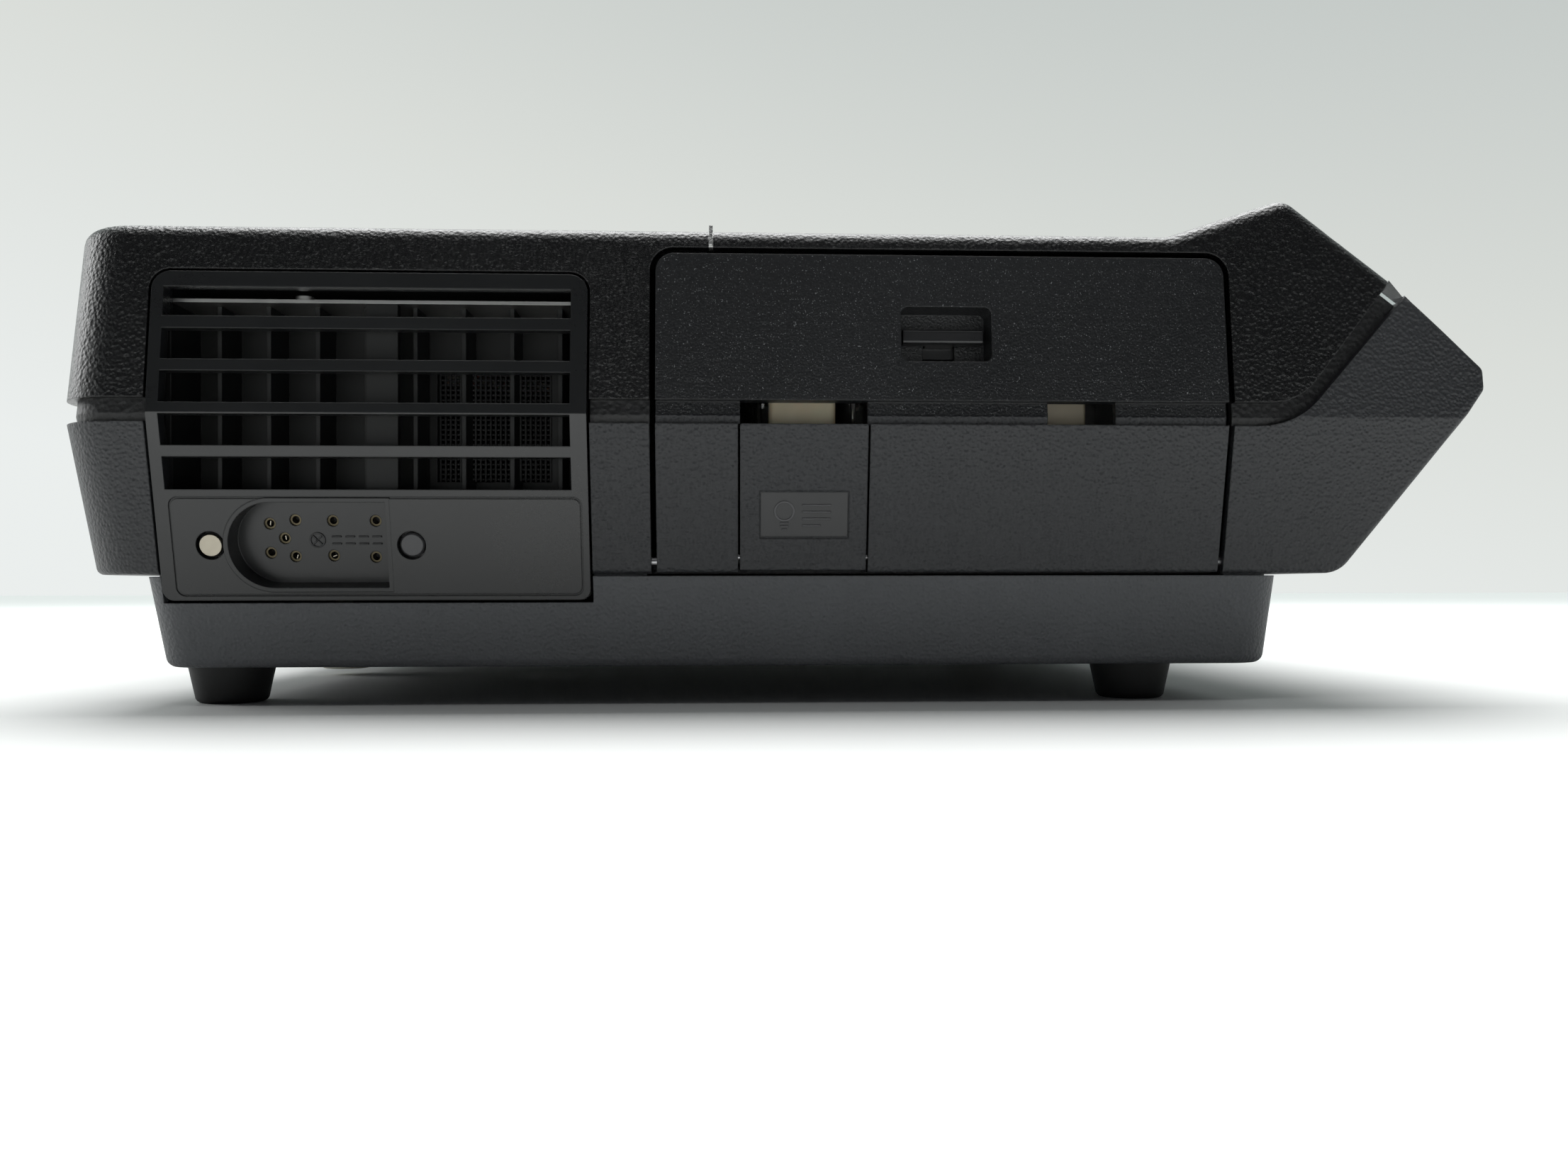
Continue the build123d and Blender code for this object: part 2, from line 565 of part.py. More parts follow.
TANG = (-120.0, 0.0)
TANG_PIVOT = (-75.0, 30.0)
with BuildPart() as mechanism_posts:
    for side in (-1, 1):
        add(block(sorted((TRAY_X + side * 2.8, TRAY_X + side * 6)), (-38, -22), (CHASSIS_Z[1], 72)))
    add(bar_along_x((TRAY_X - 6, TRAY_X + 6), LIFTER_Y, LIFTER_Z, PIN_R))
    add(upright_bar(*TANG_PIVOT, (CHASSIS_Z[1], 111.5), 6))
    add(upright_bar(*TANG_PIVOT, (111, 121), PIN_R))
save(mechanism_posts.part, "mechanism_posts")

# ---- tray bed, spindle and index tang ----------------------------------------------------------------
with BuildPart() as tray_bed:
    add(upright_bar(TRAY_X, 0, BED_Z, TRAY_R))
    add(upright_bar(TRAY_X, 0, (BED_Z[1], BED_Z[1] + 1.2), 103))
    add(upright_bar(TRAY_X, 0, (BED_Z[1], BED_Z[1] + 5), 100), mode=Mode.SUBTRACT)
    add(upright_bar(TRAY_X, 0, (BED_Z[1], BED_Z[1] + 1.2), 40))
    add(block((TRAY_X - 3.5, TRAY_X + 3.5), (-114.5, -61.5), (120, 140)), mode=Mode.SUBTRACT)
    add(upright_bar(TANG[0], TANG[1], (120, 140), 9), mode=Mode.SUBTRACT)
save(tray_bed.part, "tray_bed")

BUTTON_R = 5.0
SPINDLE_TOP = 150.0
with BuildPart() as tray_spindle:
    add(upright_bar(TRAY_X, 0, (BED_Z[1] + 1.2, 134), 29))
    add(upright_cone(TRAY_X, 0, (134, SPINDLE_TOP), 14.5, 12.5))
    fillet(tray_spindle.edges().group_by(Axis.Z)[-1], 1.5)
    add(upright_bar(TRAY_X, 0, (135, 160), BUTTON_R + RUN), mode=Mode.SUBTRACT)
    for side in (-1, 1):
        add(block((TRAY_X - 2, TRAY_X + 2), sorted((side * 12.5, side * 16)), (134, 142)))
save(tray_spindle.part, "tray_spindle")

with BuildPart() as spindle_button:
    add(upright_bar(TRAY_X, 0, (140, 152), BUTTON_R))
    fillet(spindle_button.edges().group_by(Axis.Z)[-1], 1)
save(spindle_button.part, "spindle_button")

TANG_ARM = ((TANG[0] - TANG_PIVOT[0]) ** 2 + (TANG[1] - TANG_PIVOT[1]) ** 2) ** 0.5
TANG_ANGLE = degrees(atan2(TANG[1] - TANG_PIVOT[1], TANG[0] - TANG_PIVOT[0]))
with BuildPart() as drive_tang:
    add(Pos(*TANG_PIVOT, 0) * Rot(0, 0, TANG_ANGLE) * block((0, TANG_ARM), (-4.5, 4.5), (112, 116)))
    add(upright_bar(*TANG_PIVOT, (112, 116), 7))
    add(upright_bar(*TANG, (112, 137), 3))
    fillet(drive_tang.edges().group_by(Axis.Z)[-1], 1)
    add(upright_bar(*TANG_PIVOT, (105, 125), PIN_R + RUN), mode=Mode.SUBTRACT)
save(drive_tang.part, "drive_tang")

# ---- projection lens and its focus drive ---------------------------------------------------------------
BARREL_R = 24.0
LENS_TIP_X = -200.5
RACK_TIP_Y = -59.4
PINION_R = 8.0
with BuildPart() as lens_barrel:
    add(bar_along_x((LENS_TIP_X, -112), OPTIC_Y, OPTIC_Z, BARREL_R))
    fillet(lens_barrel.edges().group_by(Axis.X)[0], 1)
    add(bar_along_x((LENS_TIP_X - 5, LENS_TIP_X + 11), OPTIC_Y, OPTIC_Z, 21), mode=Mode.SUBTRACT)
    add(bar_along_x((LENS_TIP_X + 5, -125), OPTIC_Y, OPTIC_Z, 19), mode=Mode.SUBTRACT)
    add(bar_along_x((-126, -100), OPTIC_Y, OPTIC_Z, 21), mode=Mode.SUBTRACT)
    add(block((-190, -140), (OPTIC_Y + BARREL_R - 1, RACK_TIP_Y), (89.5, 94.5)))
    for tooth in range(16):
        x = -189 + tooth * pi
        add(block((x, x + pi / 2), (RACK_TIP_Y - 1.4, RACK_TIP_Y + 1), (89, 95)), mode=Mode.SUBTRACT)
save(lens_barrel.part, "lens_barrel")

with BuildPart() as lens_glasses:
    add(convex_lens((LENS_TIP_X + 2, LENS_TIP_X + 11), 21, 3))
    add(convex_lens((-125, -117), 21, 2.5))
save(lens_glasses.part, "lens_glasses")

with BuildPart() as lens_holder:
    add(bar_along_x((-186, -124), OPTIC_Y, OPTIC_Z, 28))
    add(block((-138, -126), (-110, -66), (CHASSIS_Z[1], 74)))
    add(block((-173, -157), (-95, -44), (60.5, 66)))
    add(block((-173, -157), (-66, -44), (101, 105)))
    add(bar_along_x((-190, -100), OPTIC_Y, OPTIC_Z, BARREL_R + RUN), mode=Mode.SUBTRACT)
    add(block((-190, -120), (-68, -50), (88.6, 95.4)), mode=Mode.SUBTRACT)
    add(block((-176, -154), (-66, -50), (84, 99.5)), mode=Mode.SUBTRACT)
    add(upright_bar(WHEEL_X, WHEEL_Y, (50, 110), SHAFT_R + RUN), mode=Mode.SUBTRACT)
save(lens_holder.part, "lens_holder")

with BuildPart() as lens_bezel:
    add(bar_along_x((-196, -186), OPTIC_Y, OPTIC_Z, 34))
    fillet(lens_bezel.edges().group_by(Axis.X)[0], 2)
    add(bar_along_x((-200, -180), OPTIC_Y, OPTIC_Z, 26), mode=Mode.SUBTRACT)
    add(block((-200, -180), (-66, -58), (88.6, 95.4)), mode=Mode.SUBTRACT)
save(lens_bezel.part, "lens_bezel")

with BuildPart() as focus_wheel:
    add(upright_bar(WHEEL_X, WHEEL_Y, WHEEL_Z, WHEEL_R))
    with Locations((WHEEL_X, WHEEL_Y, 54.5)):
        with PolarLocations(WHEEL_R + 0.5, 48):
            Cylinder(1.1, 12, mode=Mode.SUBTRACT)
    add(upright_bar(WHEEL_X, WHEEL_Y, (58, 108), SHAFT_R))
    add(upright_bar(WHEEL_X, WHEEL_Y, (86, 98), PINION_R))
    with Locations((WHEEL_X, WHEEL_Y, 92)):
        with PolarLocations(PINION_R + 0.2, 16):
            Box(2.4, 1.4, 14, mode=Mode.SUBTRACT)
save(focus_wheel.part, "focus_wheel")

# ---- exhaust grille on the near side -----------------------------------------------------------------
def grille_body(inset):
    """The near side's leaning walls, carried on below the skirt, inset from the outside."""
    with BuildPart() as solid:
        add(drafted_wall(GRILLE_Z[1] + 4, inset))
        add(drafted_wall(GRILLE_Z[0] - 4, inset))
    return solid.part


LOWER_SIDE = Plane(
    origin=(0, -side_y(44.8), 44.8),
    x_dir=(1, 0, 0),
    z_dir=(0, -cos(radians(SIDE_LEAN_DOWN)), -sin(radians(SIDE_LEAN_DOWN))),
)
OPENINGS_X = (-161.6, -53.2)
OPENINGS_Z = ((106.2, 114.2), (94.4, 102.8), (82.7, 91.2), (71.4, 79.6), (59.8, 68.4))
GRILLE_WALL = 4.0
DUCT_X = (-164.0, -49.5)
DUCT_Y = (-139.0, -118.5)
DUCT_Z = (58.4, 117.7)
RECESS_DEPTH = 7.0
POSTS_X = (-150.9, -97.0)


def recess_outline(margin):
    """The D-shaped recess of the lamp-circuit socket, drawn on the lower side face, as a sketch."""
    with BuildSketch(LOWER_SIDE) as outline:
        with Locations((-134.5, 0)):
            Circle(11.8 + margin)
        with Locations((-119.05, 0)):
            Rectangle(30.9 + 2 * margin, 23.6 + 2 * margin)
    return outline.sketch


with BuildPart() as exhaust_grille:
    add(grille_body(0) & side_window(GRILLE_X, GRILLE_Z, 5, NEAR_SIDE, 3))
    add(grille_body(GRILLE_WALL), mode=Mode.SUBTRACT)
    for x in ((-164.4, -161.9), (-52.9, -49.5)):
        for z in ((59.0, 70.0), (108.0, 117.7)):
            add(block(x, (-143.5, DUCT_Y[0]), z) & grille_body(2))
    for z in OPENINGS_Z:
        add(block(OPENINGS_X, (-160, -120), z), mode=Mode.SUBTRACT)
    extrude(recess_outline(1.2), amount=20, both=True, mode=Mode.SUBTRACT)
    with BuildSketch(LOWER_SIDE):
        for x in POSTS_X:
            with Locations((x, 0)):
                Circle(3.9)
    extrude(amount=20, both=True, mode=Mode.SUBTRACT)
    with BuildSketch(LOWER_SIDE):
        with Locations((-105.8, -0.4)):
            RectangleRounded(110.6, 27.4, 2.5)
            RectangleRounded(109.6, 26.4, 2, mode=Mode.SUBTRACT)
    extrude(amount=-0.4, mode=Mode.SUBTRACT)
save(exhaust_grille.part, "exhaust_grille")

CONTACTS = (
    (-137.2, 4.9), (-130.2, 5.9), (-120.0, 5.7), (-108.3, 5.7), (-133.4, 0.8),
    (-137.5, -3.3), (-130.8, -4.3), (-120.3, -4.1), (-108.8, -4.5),
)
with BuildPart() as lamp_socket_insert:
    extrude(recess_outline(1.2), amount=-RECESS_DEPTH - 5)
    with BuildSketch(LOWER_SIDE.offset(-GRILLE_WALL)):
        with Locations((-123.9, 0)):
            Rectangle(66, 26.6)
    extrude(amount=-2.4)
    add(block((-200, 0), (-FAR_Y, -100), (DUCT_Z[0] - 0.1, 90)), mode=Mode.SUBTRACT)
    extrude(recess_outline(0), amount=-RECESS_DEPTH, mode=Mode.SUBTRACT)
    with BuildSketch(LOWER_SIDE.offset(-RECESS_DEPTH)):
        with Locations(*CONTACTS):
            Circle(1.6)
    extrude(amount=-4, mode=Mode.SUBTRACT)
save(lamp_socket_insert.part, "lamp_socket_insert")

with BuildPart() as socket_contacts:
    with BuildSketch(LOWER_SIDE.offset(-RECESS_DEPTH - 0.6)):
        with Locations(*CONTACTS):
            Circle(1.6)
            Circle(1.0, mode=Mode.SUBTRACT)
    extrude(amount=-3.4)
save(socket_contacts.part, "socket_contacts")

with BuildPart() as socket_posts:
    with BuildSketch(LOWER_SIDE.offset(-GRILLE_WALL)):
        for x in POSTS_X:
            with Locations((x, 0)):
                Circle(3.4)
    extrude(amount=GRILLE_WALL - 0.6)
    chamfer(socket_posts.faces().sort_by(Axis.Y)[:2].edges(), 0.5)
save(socket_posts.part, "socket_posts")

# ---- exhaust duct behind the grille ------------------------------------------------------------------
SHIELD_Z = (111.4, 112.4)
with BuildPart() as exhaust_duct:
    add(block(DUCT_X, DUCT_Y, DUCT_Z))
    add(block(grown(DUCT_X, -1.6), (DUCT_Y[0] - 5, DUCT_Y[1] - 1.6), (59.6, DUCT_Z[1] - 1.6)), mode=Mode.SUBTRACT)
    for fin in range(8):
        x = -152 + fin * 13.4
        add(block((x, x + 1.2), (-134, -119), (59, SHIELD_Z[0])))
    add(block((-110, -101.4), (-138.6, -136), (59, SHIELD_Z[0])))
    add(block((-97, -60), (-119, -110), (62, 100)))
    add(block((-95, -62), (-125, -100), (64, 98)), mode=Mode.SUBTRACT)
    add(block((-59, -52), (-124, -112), (CHASSIS_Z[1], 59)))
save(exhaust_duct.part, "exhaust_duct")

with BuildPart() as heat_shield:
    add(block((-162.4, -51.1), (-138.8, -120.1), SHIELD_Z))
    add(upright_bar(-128, -134, (SHIELD_Z[1], SHIELD_Z[1] + 1.6), 2.6))
save(heat_shield.part, "heat_shield")

# ---- lamp door ------------------------------------------------------------------------------------------
KNUCKLE_R = 2.6
KNUCKLE = 12.0
WINDOW_X = ((FLAP_X[0], FLAP_X[1]), (77.5, 96.5))
FLAP_Y, FLAP_PIVOT_Z = -138.4, 41.6
FLAP_PIN_R = 0.8
FLAP_GAP = 0.6
LATCH_X = (36.9, 61.9)
LATCH_Z = (95.0, 110.3)
TUB_BACK = -135.8
DOOR_PRISM = side_window(DOOR_X, DOOR_Z, 5, (-FAR_Y, -135))
with BuildPart() as side_door:
    add((FULL - INNER) & DOOR_PRISM & ABOVE)
    add((FULL - INNER) & DOOR_PRISM & BELOW)
    add((INNER - BELT_INNER) & side_window(DOOR_X, (72, 90), 1))
    add(block(grown(FLAP_X, FLAP_GAP), (-FAR_Y, -100), (30, GROOVE_LOW_Z + 0.1)), mode=Mode.SUBTRACT)
    for window, low in zip(WINDOW_X, (GROOVE_LOW_Z - 6, GROOVE_LOW_Z)):
        add(block(window, (-FAR_Y, -100), (low, GROOVE_HIGH_Z)), mode=Mode.SUBTRACT)
    add((block(grown(LATCH_X, 1.6), (-FAR_Y, TUB_BACK + 1.6), grown(LATCH_Z, 1.6)) & body(1)))
    add(side_window(LATCH_X, LATCH_Z, 2, (-FAR_Y, TUB_BACK), 2), mode=Mode.SUBTRACT)
    add(block((44.5, 53.5), (-137, -130), (96.2, 104.6)), mode=Mode.SUBTRACT)
    for x in ((40.4, 41.5), (56.5, 57.6)):
        add(block(x, (TUB_BACK + 1, -131.4), (98, 111.5)))
    for x in ((DOOR_X[0], DOOR_X[0] + KNUCKLE), (DOOR_X[1] - KNUCKLE, DOOR_X[1])):
        add(bar_along_x(x, HINGE_Y, HINGE_Z, KNUCKLE_R))
        add(bar_along_x(grown(x, 1), HINGE_Y, HINGE_Z, HINGE_PIN_R + RUN), mode=Mode.SUBTRACT)
    for x in ((FLAP_X[0] - FLAP_GAP - 4, FLAP_X[0] - FLAP_GAP), (FLAP_X[1] + FLAP_GAP, FLAP_X[1] + FLAP_GAP + 4)):
        add(bar_along_x(x, FLAP_Y, FLAP_PIVOT_Z, 2.2))
        add(bar_along_x(grown(x, 1), FLAP_Y, FLAP_PIVOT_Z, FLAP_PIN_R), mode=Mode.SUBTRACT)
save(side_door.part, "side_door")

with BuildPart() as hinge_pins:
    for x in ((DOOR_X[0] - DOOR_GAP - 5, DOOR_X[0] + KNUCKLE), (DOOR_X[1] - KNUCKLE, DOOR_X[1] + DOOR_GAP + 5)):
        add(bar_along_x(x, HINGE_Y, HINGE_Z, HINGE_PIN_R))
    for side in (-1, 1):
        add(bar_along_x(sorted((side * 49, side * 62)), HANDLE_Y, HANDLE_PIVOT_Z, HANDLE_PIN_R))
save(hinge_pins.part, "hinge_pins")

with BuildPart() as door_latch:
    add(block((37.8, 60.0), (-144.0, -139.5), (100.5, 104.4)))
    fillet(door_latch.edges().filter_by(Axis.X), 0.8)
    add(block((45, 53), (-140, -133.4), (101, 104)))
    add(block((42, 56), (-133.8, -132.0), (98, 121)))
save(door_latch.part, "door_latch")

with BuildPart() as reading_light_flap:
    add((FULL - INNER) & side_window(FLAP_X, (38.0, GROOVE_LOW_Z), 0.6, (-FAR_Y, -135)))
    add((FULL - body(0.5)) & block((-2.0, 22.8), (-FAR_Y, -100), (46.7, 59.7)), mode=Mode.SUBTRACT)
    for x in ((FLAP_X[0], FLAP_X[0] + 4), (FLAP_X[1] - 4, FLAP_X[1])):
        add(bar_along_x(x, FLAP_Y, FLAP_PIVOT_Z, 2.2))
        add(bar_along_x(grown(x, 1), FLAP_Y, FLAP_PIVOT_Z, FLAP_PIN_R + RUN), mode=Mode.SUBTRACT)
save(reading_light_flap.part, "reading_light_flap")

with BuildPart() as flap_pins:
    for x in ((FLAP_X[0] - FLAP_GAP - 4, FLAP_X[0] + 4), (FLAP_X[1] - 4, FLAP_X[1] + FLAP_GAP + 4)):
        add(bar_along_x(x, FLAP_Y, FLAP_PIVOT_Z, FLAP_PIN_R))
save(flap_pins.part, "flap_pins")

# ---- carry handle on the far side -----------------------------------------------------------------------
with BuildPart() as carry_handle:
    add(block((-56, 56), (135, 143), (HANDLE_PIVOT_Z, 115)))
    add(bar_along_x((-56, 56), HANDLE_Y, HANDLE_PIVOT_Z, 4))
    fillet(carry_handle.edges().filter_by(Axis.X).group_by(Axis.Z)[-1], 2.5)
    add(block((-48, 48), (130, 150), (90, 106)), mode=Mode.SUBTRACT)
    add(bar_along_x((-60, 60), HANDLE_Y, HANDLE_PIVOT_Z, HANDLE_PIN_R + RUN), mode=Mode.SUBTRACT)
save(carry_handle.part, "carry_handle")

# ---- control panel and its controls ---------------------------------------------------------------------
SWITCH, TIMER, SELECT, REVERSE, FORWARD, ROCKER = -95.0, -45.0, 0.0, 38.0, 58.0, 95.0
PANEL_AXIS = Axis((0, 0, 0), tuple(CONTROL_PLANE.z_dir))
SELECT_SIZE = (40.0, 10.0)
BUTTON_SIZE = (14.0, 11.0)
ROCKER_SIZE = (26.0, 11.0)


def on_panel(x, size, depths, radius=0.5):
    """A rounded block square to the control panel, between two heights from the panel's plane."""
    with BuildPart() as tool:
        with BuildSketch(CONTROL_PLANE.offset(depths[0])):
            with Locations((x, 0)):
                RectangleRounded(size[0], size[1], radius)
        extrude(amount=depths[1] - depths[0])
    return tool.part


def round_on_panel(x, radius, depths):
    """A round bar square to the control panel."""
    with BuildPart() as tool:
        with BuildSketch(CONTROL_PLANE.offset(depths[0])):
            with Locations((x, 0)):
                Circle(radius)
        extrude(amount=depths[1] - depths[0])
    return tool.part


with BuildPart() as control_panel:
    add(on_panel(0, (PANEL_SIZE[0] - 0.8, PANEL_SIZE[1] - 0.8), (-WALL - 0.1, -0.3), 2.6))
    add(on_panel(0, (PANEL_SIZE[0] + 4, PANEL_SIZE[1] + 3), (-WALL - 1.85, -WALL - 0.03), 3))
    add(on_panel(SWITCH, (34, 5), (-8, 2)), mode=Mode.SUBTRACT)
    add(round_on_panel(TIMER, SHAFT_R + RUN, (-8, 2)), mode=Mode.SUBTRACT)
    for x, size in ((SELECT, SELECT_SIZE), (REVERSE, BUTTON_SIZE), (FORWARD, BUTTON_SIZE)):
        add(on_panel(x, (size[0] + 0.8, size[1] + 0.8), (-8, 2), 1), mode=Mode.SUBTRACT)
    add(on_panel(ROCKER, (ROCKER_SIZE[0] + 2.6, ROCKER_SIZE[1] + 0.8), (-8, 2), 1), mode=Mode.SUBTRACT)
    for x in (-122, 122):
        add(round_on_panel(x, 3, (-17, -WALL - 1)))
save(control_panel.part, "control_panel")

with BuildPart() as control_board:
    add(on_panel(0, (252, 20), (-18.6, -17)))
save(control_board.part, "control_board")

with BuildPart() as power_switch:
    add(on_panel(SWITCH - 12, (9, 8), (0.2, 4.5), 1))
    fillet(power_switch.faces().sort_by(PANEL_AXIS)[-1].edges(), 0.8)
    add(on_panel(SWITCH - 12, (8, 4.2), (-5.2, 1)))
    add(on_panel(SWITCH - 12, (10, 8), (-6.6, -4.9)))
save(power_switch.part, "power_switch")

with BuildPart() as timer_knob:
    add(round_on_panel(TIMER, 9, (0.2, 8)))
    fillet(timer_knob.faces().sort_by(PANEL_AXIS)[-1].edges(), 1)
    add(on_panel(TIMER, (1.2, 22), (6.5, 12)), mode=Mode.SUBTRACT)
    add(round_on_panel(TIMER, SHAFT_R, (-9, 1)))
    add(round_on_panel(TIMER, 5, (-7, -4.9)))
save(timer_knob.part, "timer_knob")


def push_button(x, size, top):
    """A push button with a round stem under it."""
    with BuildPart() as button:
        add(on_panel(x, size, (-5, top), 1))
        fillet(button.faces().sort_by(PANEL_AXIS)[-1].edges(), 0.7)
        add(round_on_panel(x, 2.5, (-11.5, -4)))
    return button.part


save(push_button(SELECT, SELECT_SIZE, 3.0), "select_bar")
save(push_button(REVERSE, BUTTON_SIZE, 2.2), "reverse_button")
save(push_button(FORWARD, BUTTON_SIZE, 2.2), "forward_button")
save(push_button(ROCKER, ROCKER_SIZE, 2.2), "focus_rocker")

# ---- sockets --------------------------------------------------------------------------------------------
with BuildPart() as remote_socket:
    with BuildSketch(REMOTE_PLANE):
        Circle(12)
    extrude(amount=1.2)
    with BuildSketch(REMOTE_PLANE):
        Circle(9.4)
    extrude(amount=-12)
    with BuildSketch(REMOTE_PLANE.offset(1.2)):
        Circle(7.2)
    extrude(amount=-7, mode=Mode.SUBTRACT)
    with BuildSketch(REMOTE_PLANE.offset(-6)):
        with PolarLocations(4.6, 5, start_angle=90, angular_range=300):
            Circle(0.8)
        Circle(0.8)
    extrude(amount=4)
save(remote_socket.part, "remote_socket")

with BuildPart() as mains_inlet:
    add(block((118, 148.5), MAINS_Y, (15, 33)))
    add(block((148.5, 150.2), grown(MAINS_Y, 2), (13.4, 34.6)))
    add(block((130, 160), grown(MAINS_Y, -3), (18, 30)), mode=Mode.SUBTRACT)
    for y, z in ((66, 22), (78, 22), (72, 26)):
        add(block((128, 144), (y - 1, y + 1), (z - 1.8, z + 1.8)))
save(mains_inlet.part, "mains_inlet")
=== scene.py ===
"""Rotary-tray slide projector: finishes, small details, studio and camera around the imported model."""

from __future__ import annotations

import json
import logging
import math
from dataclasses import dataclass, field
from enum import Enum
from typing import Any, Iterable, Union

import bmesh
import bpy
from mathutils import Matrix, Vector

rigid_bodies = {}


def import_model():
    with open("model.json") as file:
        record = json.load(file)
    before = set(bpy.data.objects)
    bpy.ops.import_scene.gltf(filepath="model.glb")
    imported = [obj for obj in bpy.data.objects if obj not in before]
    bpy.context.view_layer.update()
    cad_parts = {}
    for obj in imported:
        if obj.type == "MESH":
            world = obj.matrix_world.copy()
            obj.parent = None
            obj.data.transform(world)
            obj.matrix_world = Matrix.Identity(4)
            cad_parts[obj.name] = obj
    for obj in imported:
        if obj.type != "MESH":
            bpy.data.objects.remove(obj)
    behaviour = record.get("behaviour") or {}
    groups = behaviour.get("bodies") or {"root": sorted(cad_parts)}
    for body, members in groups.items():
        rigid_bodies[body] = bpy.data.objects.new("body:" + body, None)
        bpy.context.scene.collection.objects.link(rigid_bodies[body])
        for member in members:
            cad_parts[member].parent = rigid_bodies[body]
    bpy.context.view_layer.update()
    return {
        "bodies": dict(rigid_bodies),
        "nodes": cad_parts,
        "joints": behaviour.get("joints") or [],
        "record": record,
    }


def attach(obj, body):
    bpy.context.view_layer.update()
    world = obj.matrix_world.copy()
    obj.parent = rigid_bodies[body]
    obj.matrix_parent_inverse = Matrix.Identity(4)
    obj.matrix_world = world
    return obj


LOG = logging.getLogger("slide_projector")
MM = 0.001
Value = Union["Sock", float, int]
Point = tuple[float, float, float]
Color = tuple[float, float, float]
Spot = tuple[float, float]

# Half width, lowest height and nearest depth of the bright stripe painted across the top edge: a painted
# highlight along the seam at the spindle.
SEAM_HIGHLIGHT_HALF = 0.0006
SEAM_HIGHLIGHT_LOW_Z = 0.1266
SEAM_HIGHLIGHT_NEAR_Y = 0.127
SPINDLE_X = -15.2
SPINDLE_TOP = 152.0
PANEL_LIP_HIGH = (176.0, 0.0, 120.0)
PANEL_LIP_LOW = (179.8, 0.0, 115.0)


class Body(str, Enum):
    """The moving bodies that new pieces ride on."""

    SHELL = "projector"
    FLAP = "flap"
    LENS = "lens"
    SPINDLE = "spindle_key"


class Sock:
    """A shader socket that adds Math nodes when it is used in an expression."""

    def __init__(self, graph: "Graph", link: bpy.types.NodeSocket) -> None:
        """Wraps one output socket.

        Args:
            graph: The graph that the socket belongs to.
            link: The output socket.
        """
        self.graph = graph
        self.link = link

    def _math(self, operation: str, left: Value, right: Value) -> "Sock":
        """Adds one Math node.

        Args:
            operation: The Math node's operation.
            left: Its first value.
            right: Its second value.

        Returns:
            The node's result.
        """
        return self.graph.node("ShaderNodeMath", {"operation": operation}, {0: left, 1: right})

    def __add__(self, other: Value) -> "Sock":
        """self + other."""
        return self._math("ADD", self, other)

    def __radd__(self, other: Value) -> "Sock":
        """other + self."""
        return self._math("ADD", other, self)

    def __sub__(self, other: Value) -> "Sock":
        """self - other."""
        return self._math("SUBTRACT", self, other)

    def __rsub__(self, other: Value) -> "Sock":
        """other - self."""
        return self._math("SUBTRACT", other, self)

    def __mul__(self, other: Value) -> "Sock":
        """self * other."""
        return self._math("MULTIPLY", self, other)

    def __rmul__(self, other: Value) -> "Sock":
        """other * self."""
        return self._math("MULTIPLY", other, self)

    def above(self, edge: float, soft: float) -> "Sock":
        """A mask that rises from 0 to 1 about an edge.

        Args:
            edge: Where the mask is half way.
            soft: Half the width over which it rises.

        Returns:
            The mask.
        """
        return self.graph.node(
            "ShaderNodeMapRange",
            {"interpolation_type": "SMOOTHSTEP"},
            {
                "Value": self, "From Min": edge - soft, "From Max": edge + soft,
                "To Min": 0.0, "To Max": 1.0,
            },
        )


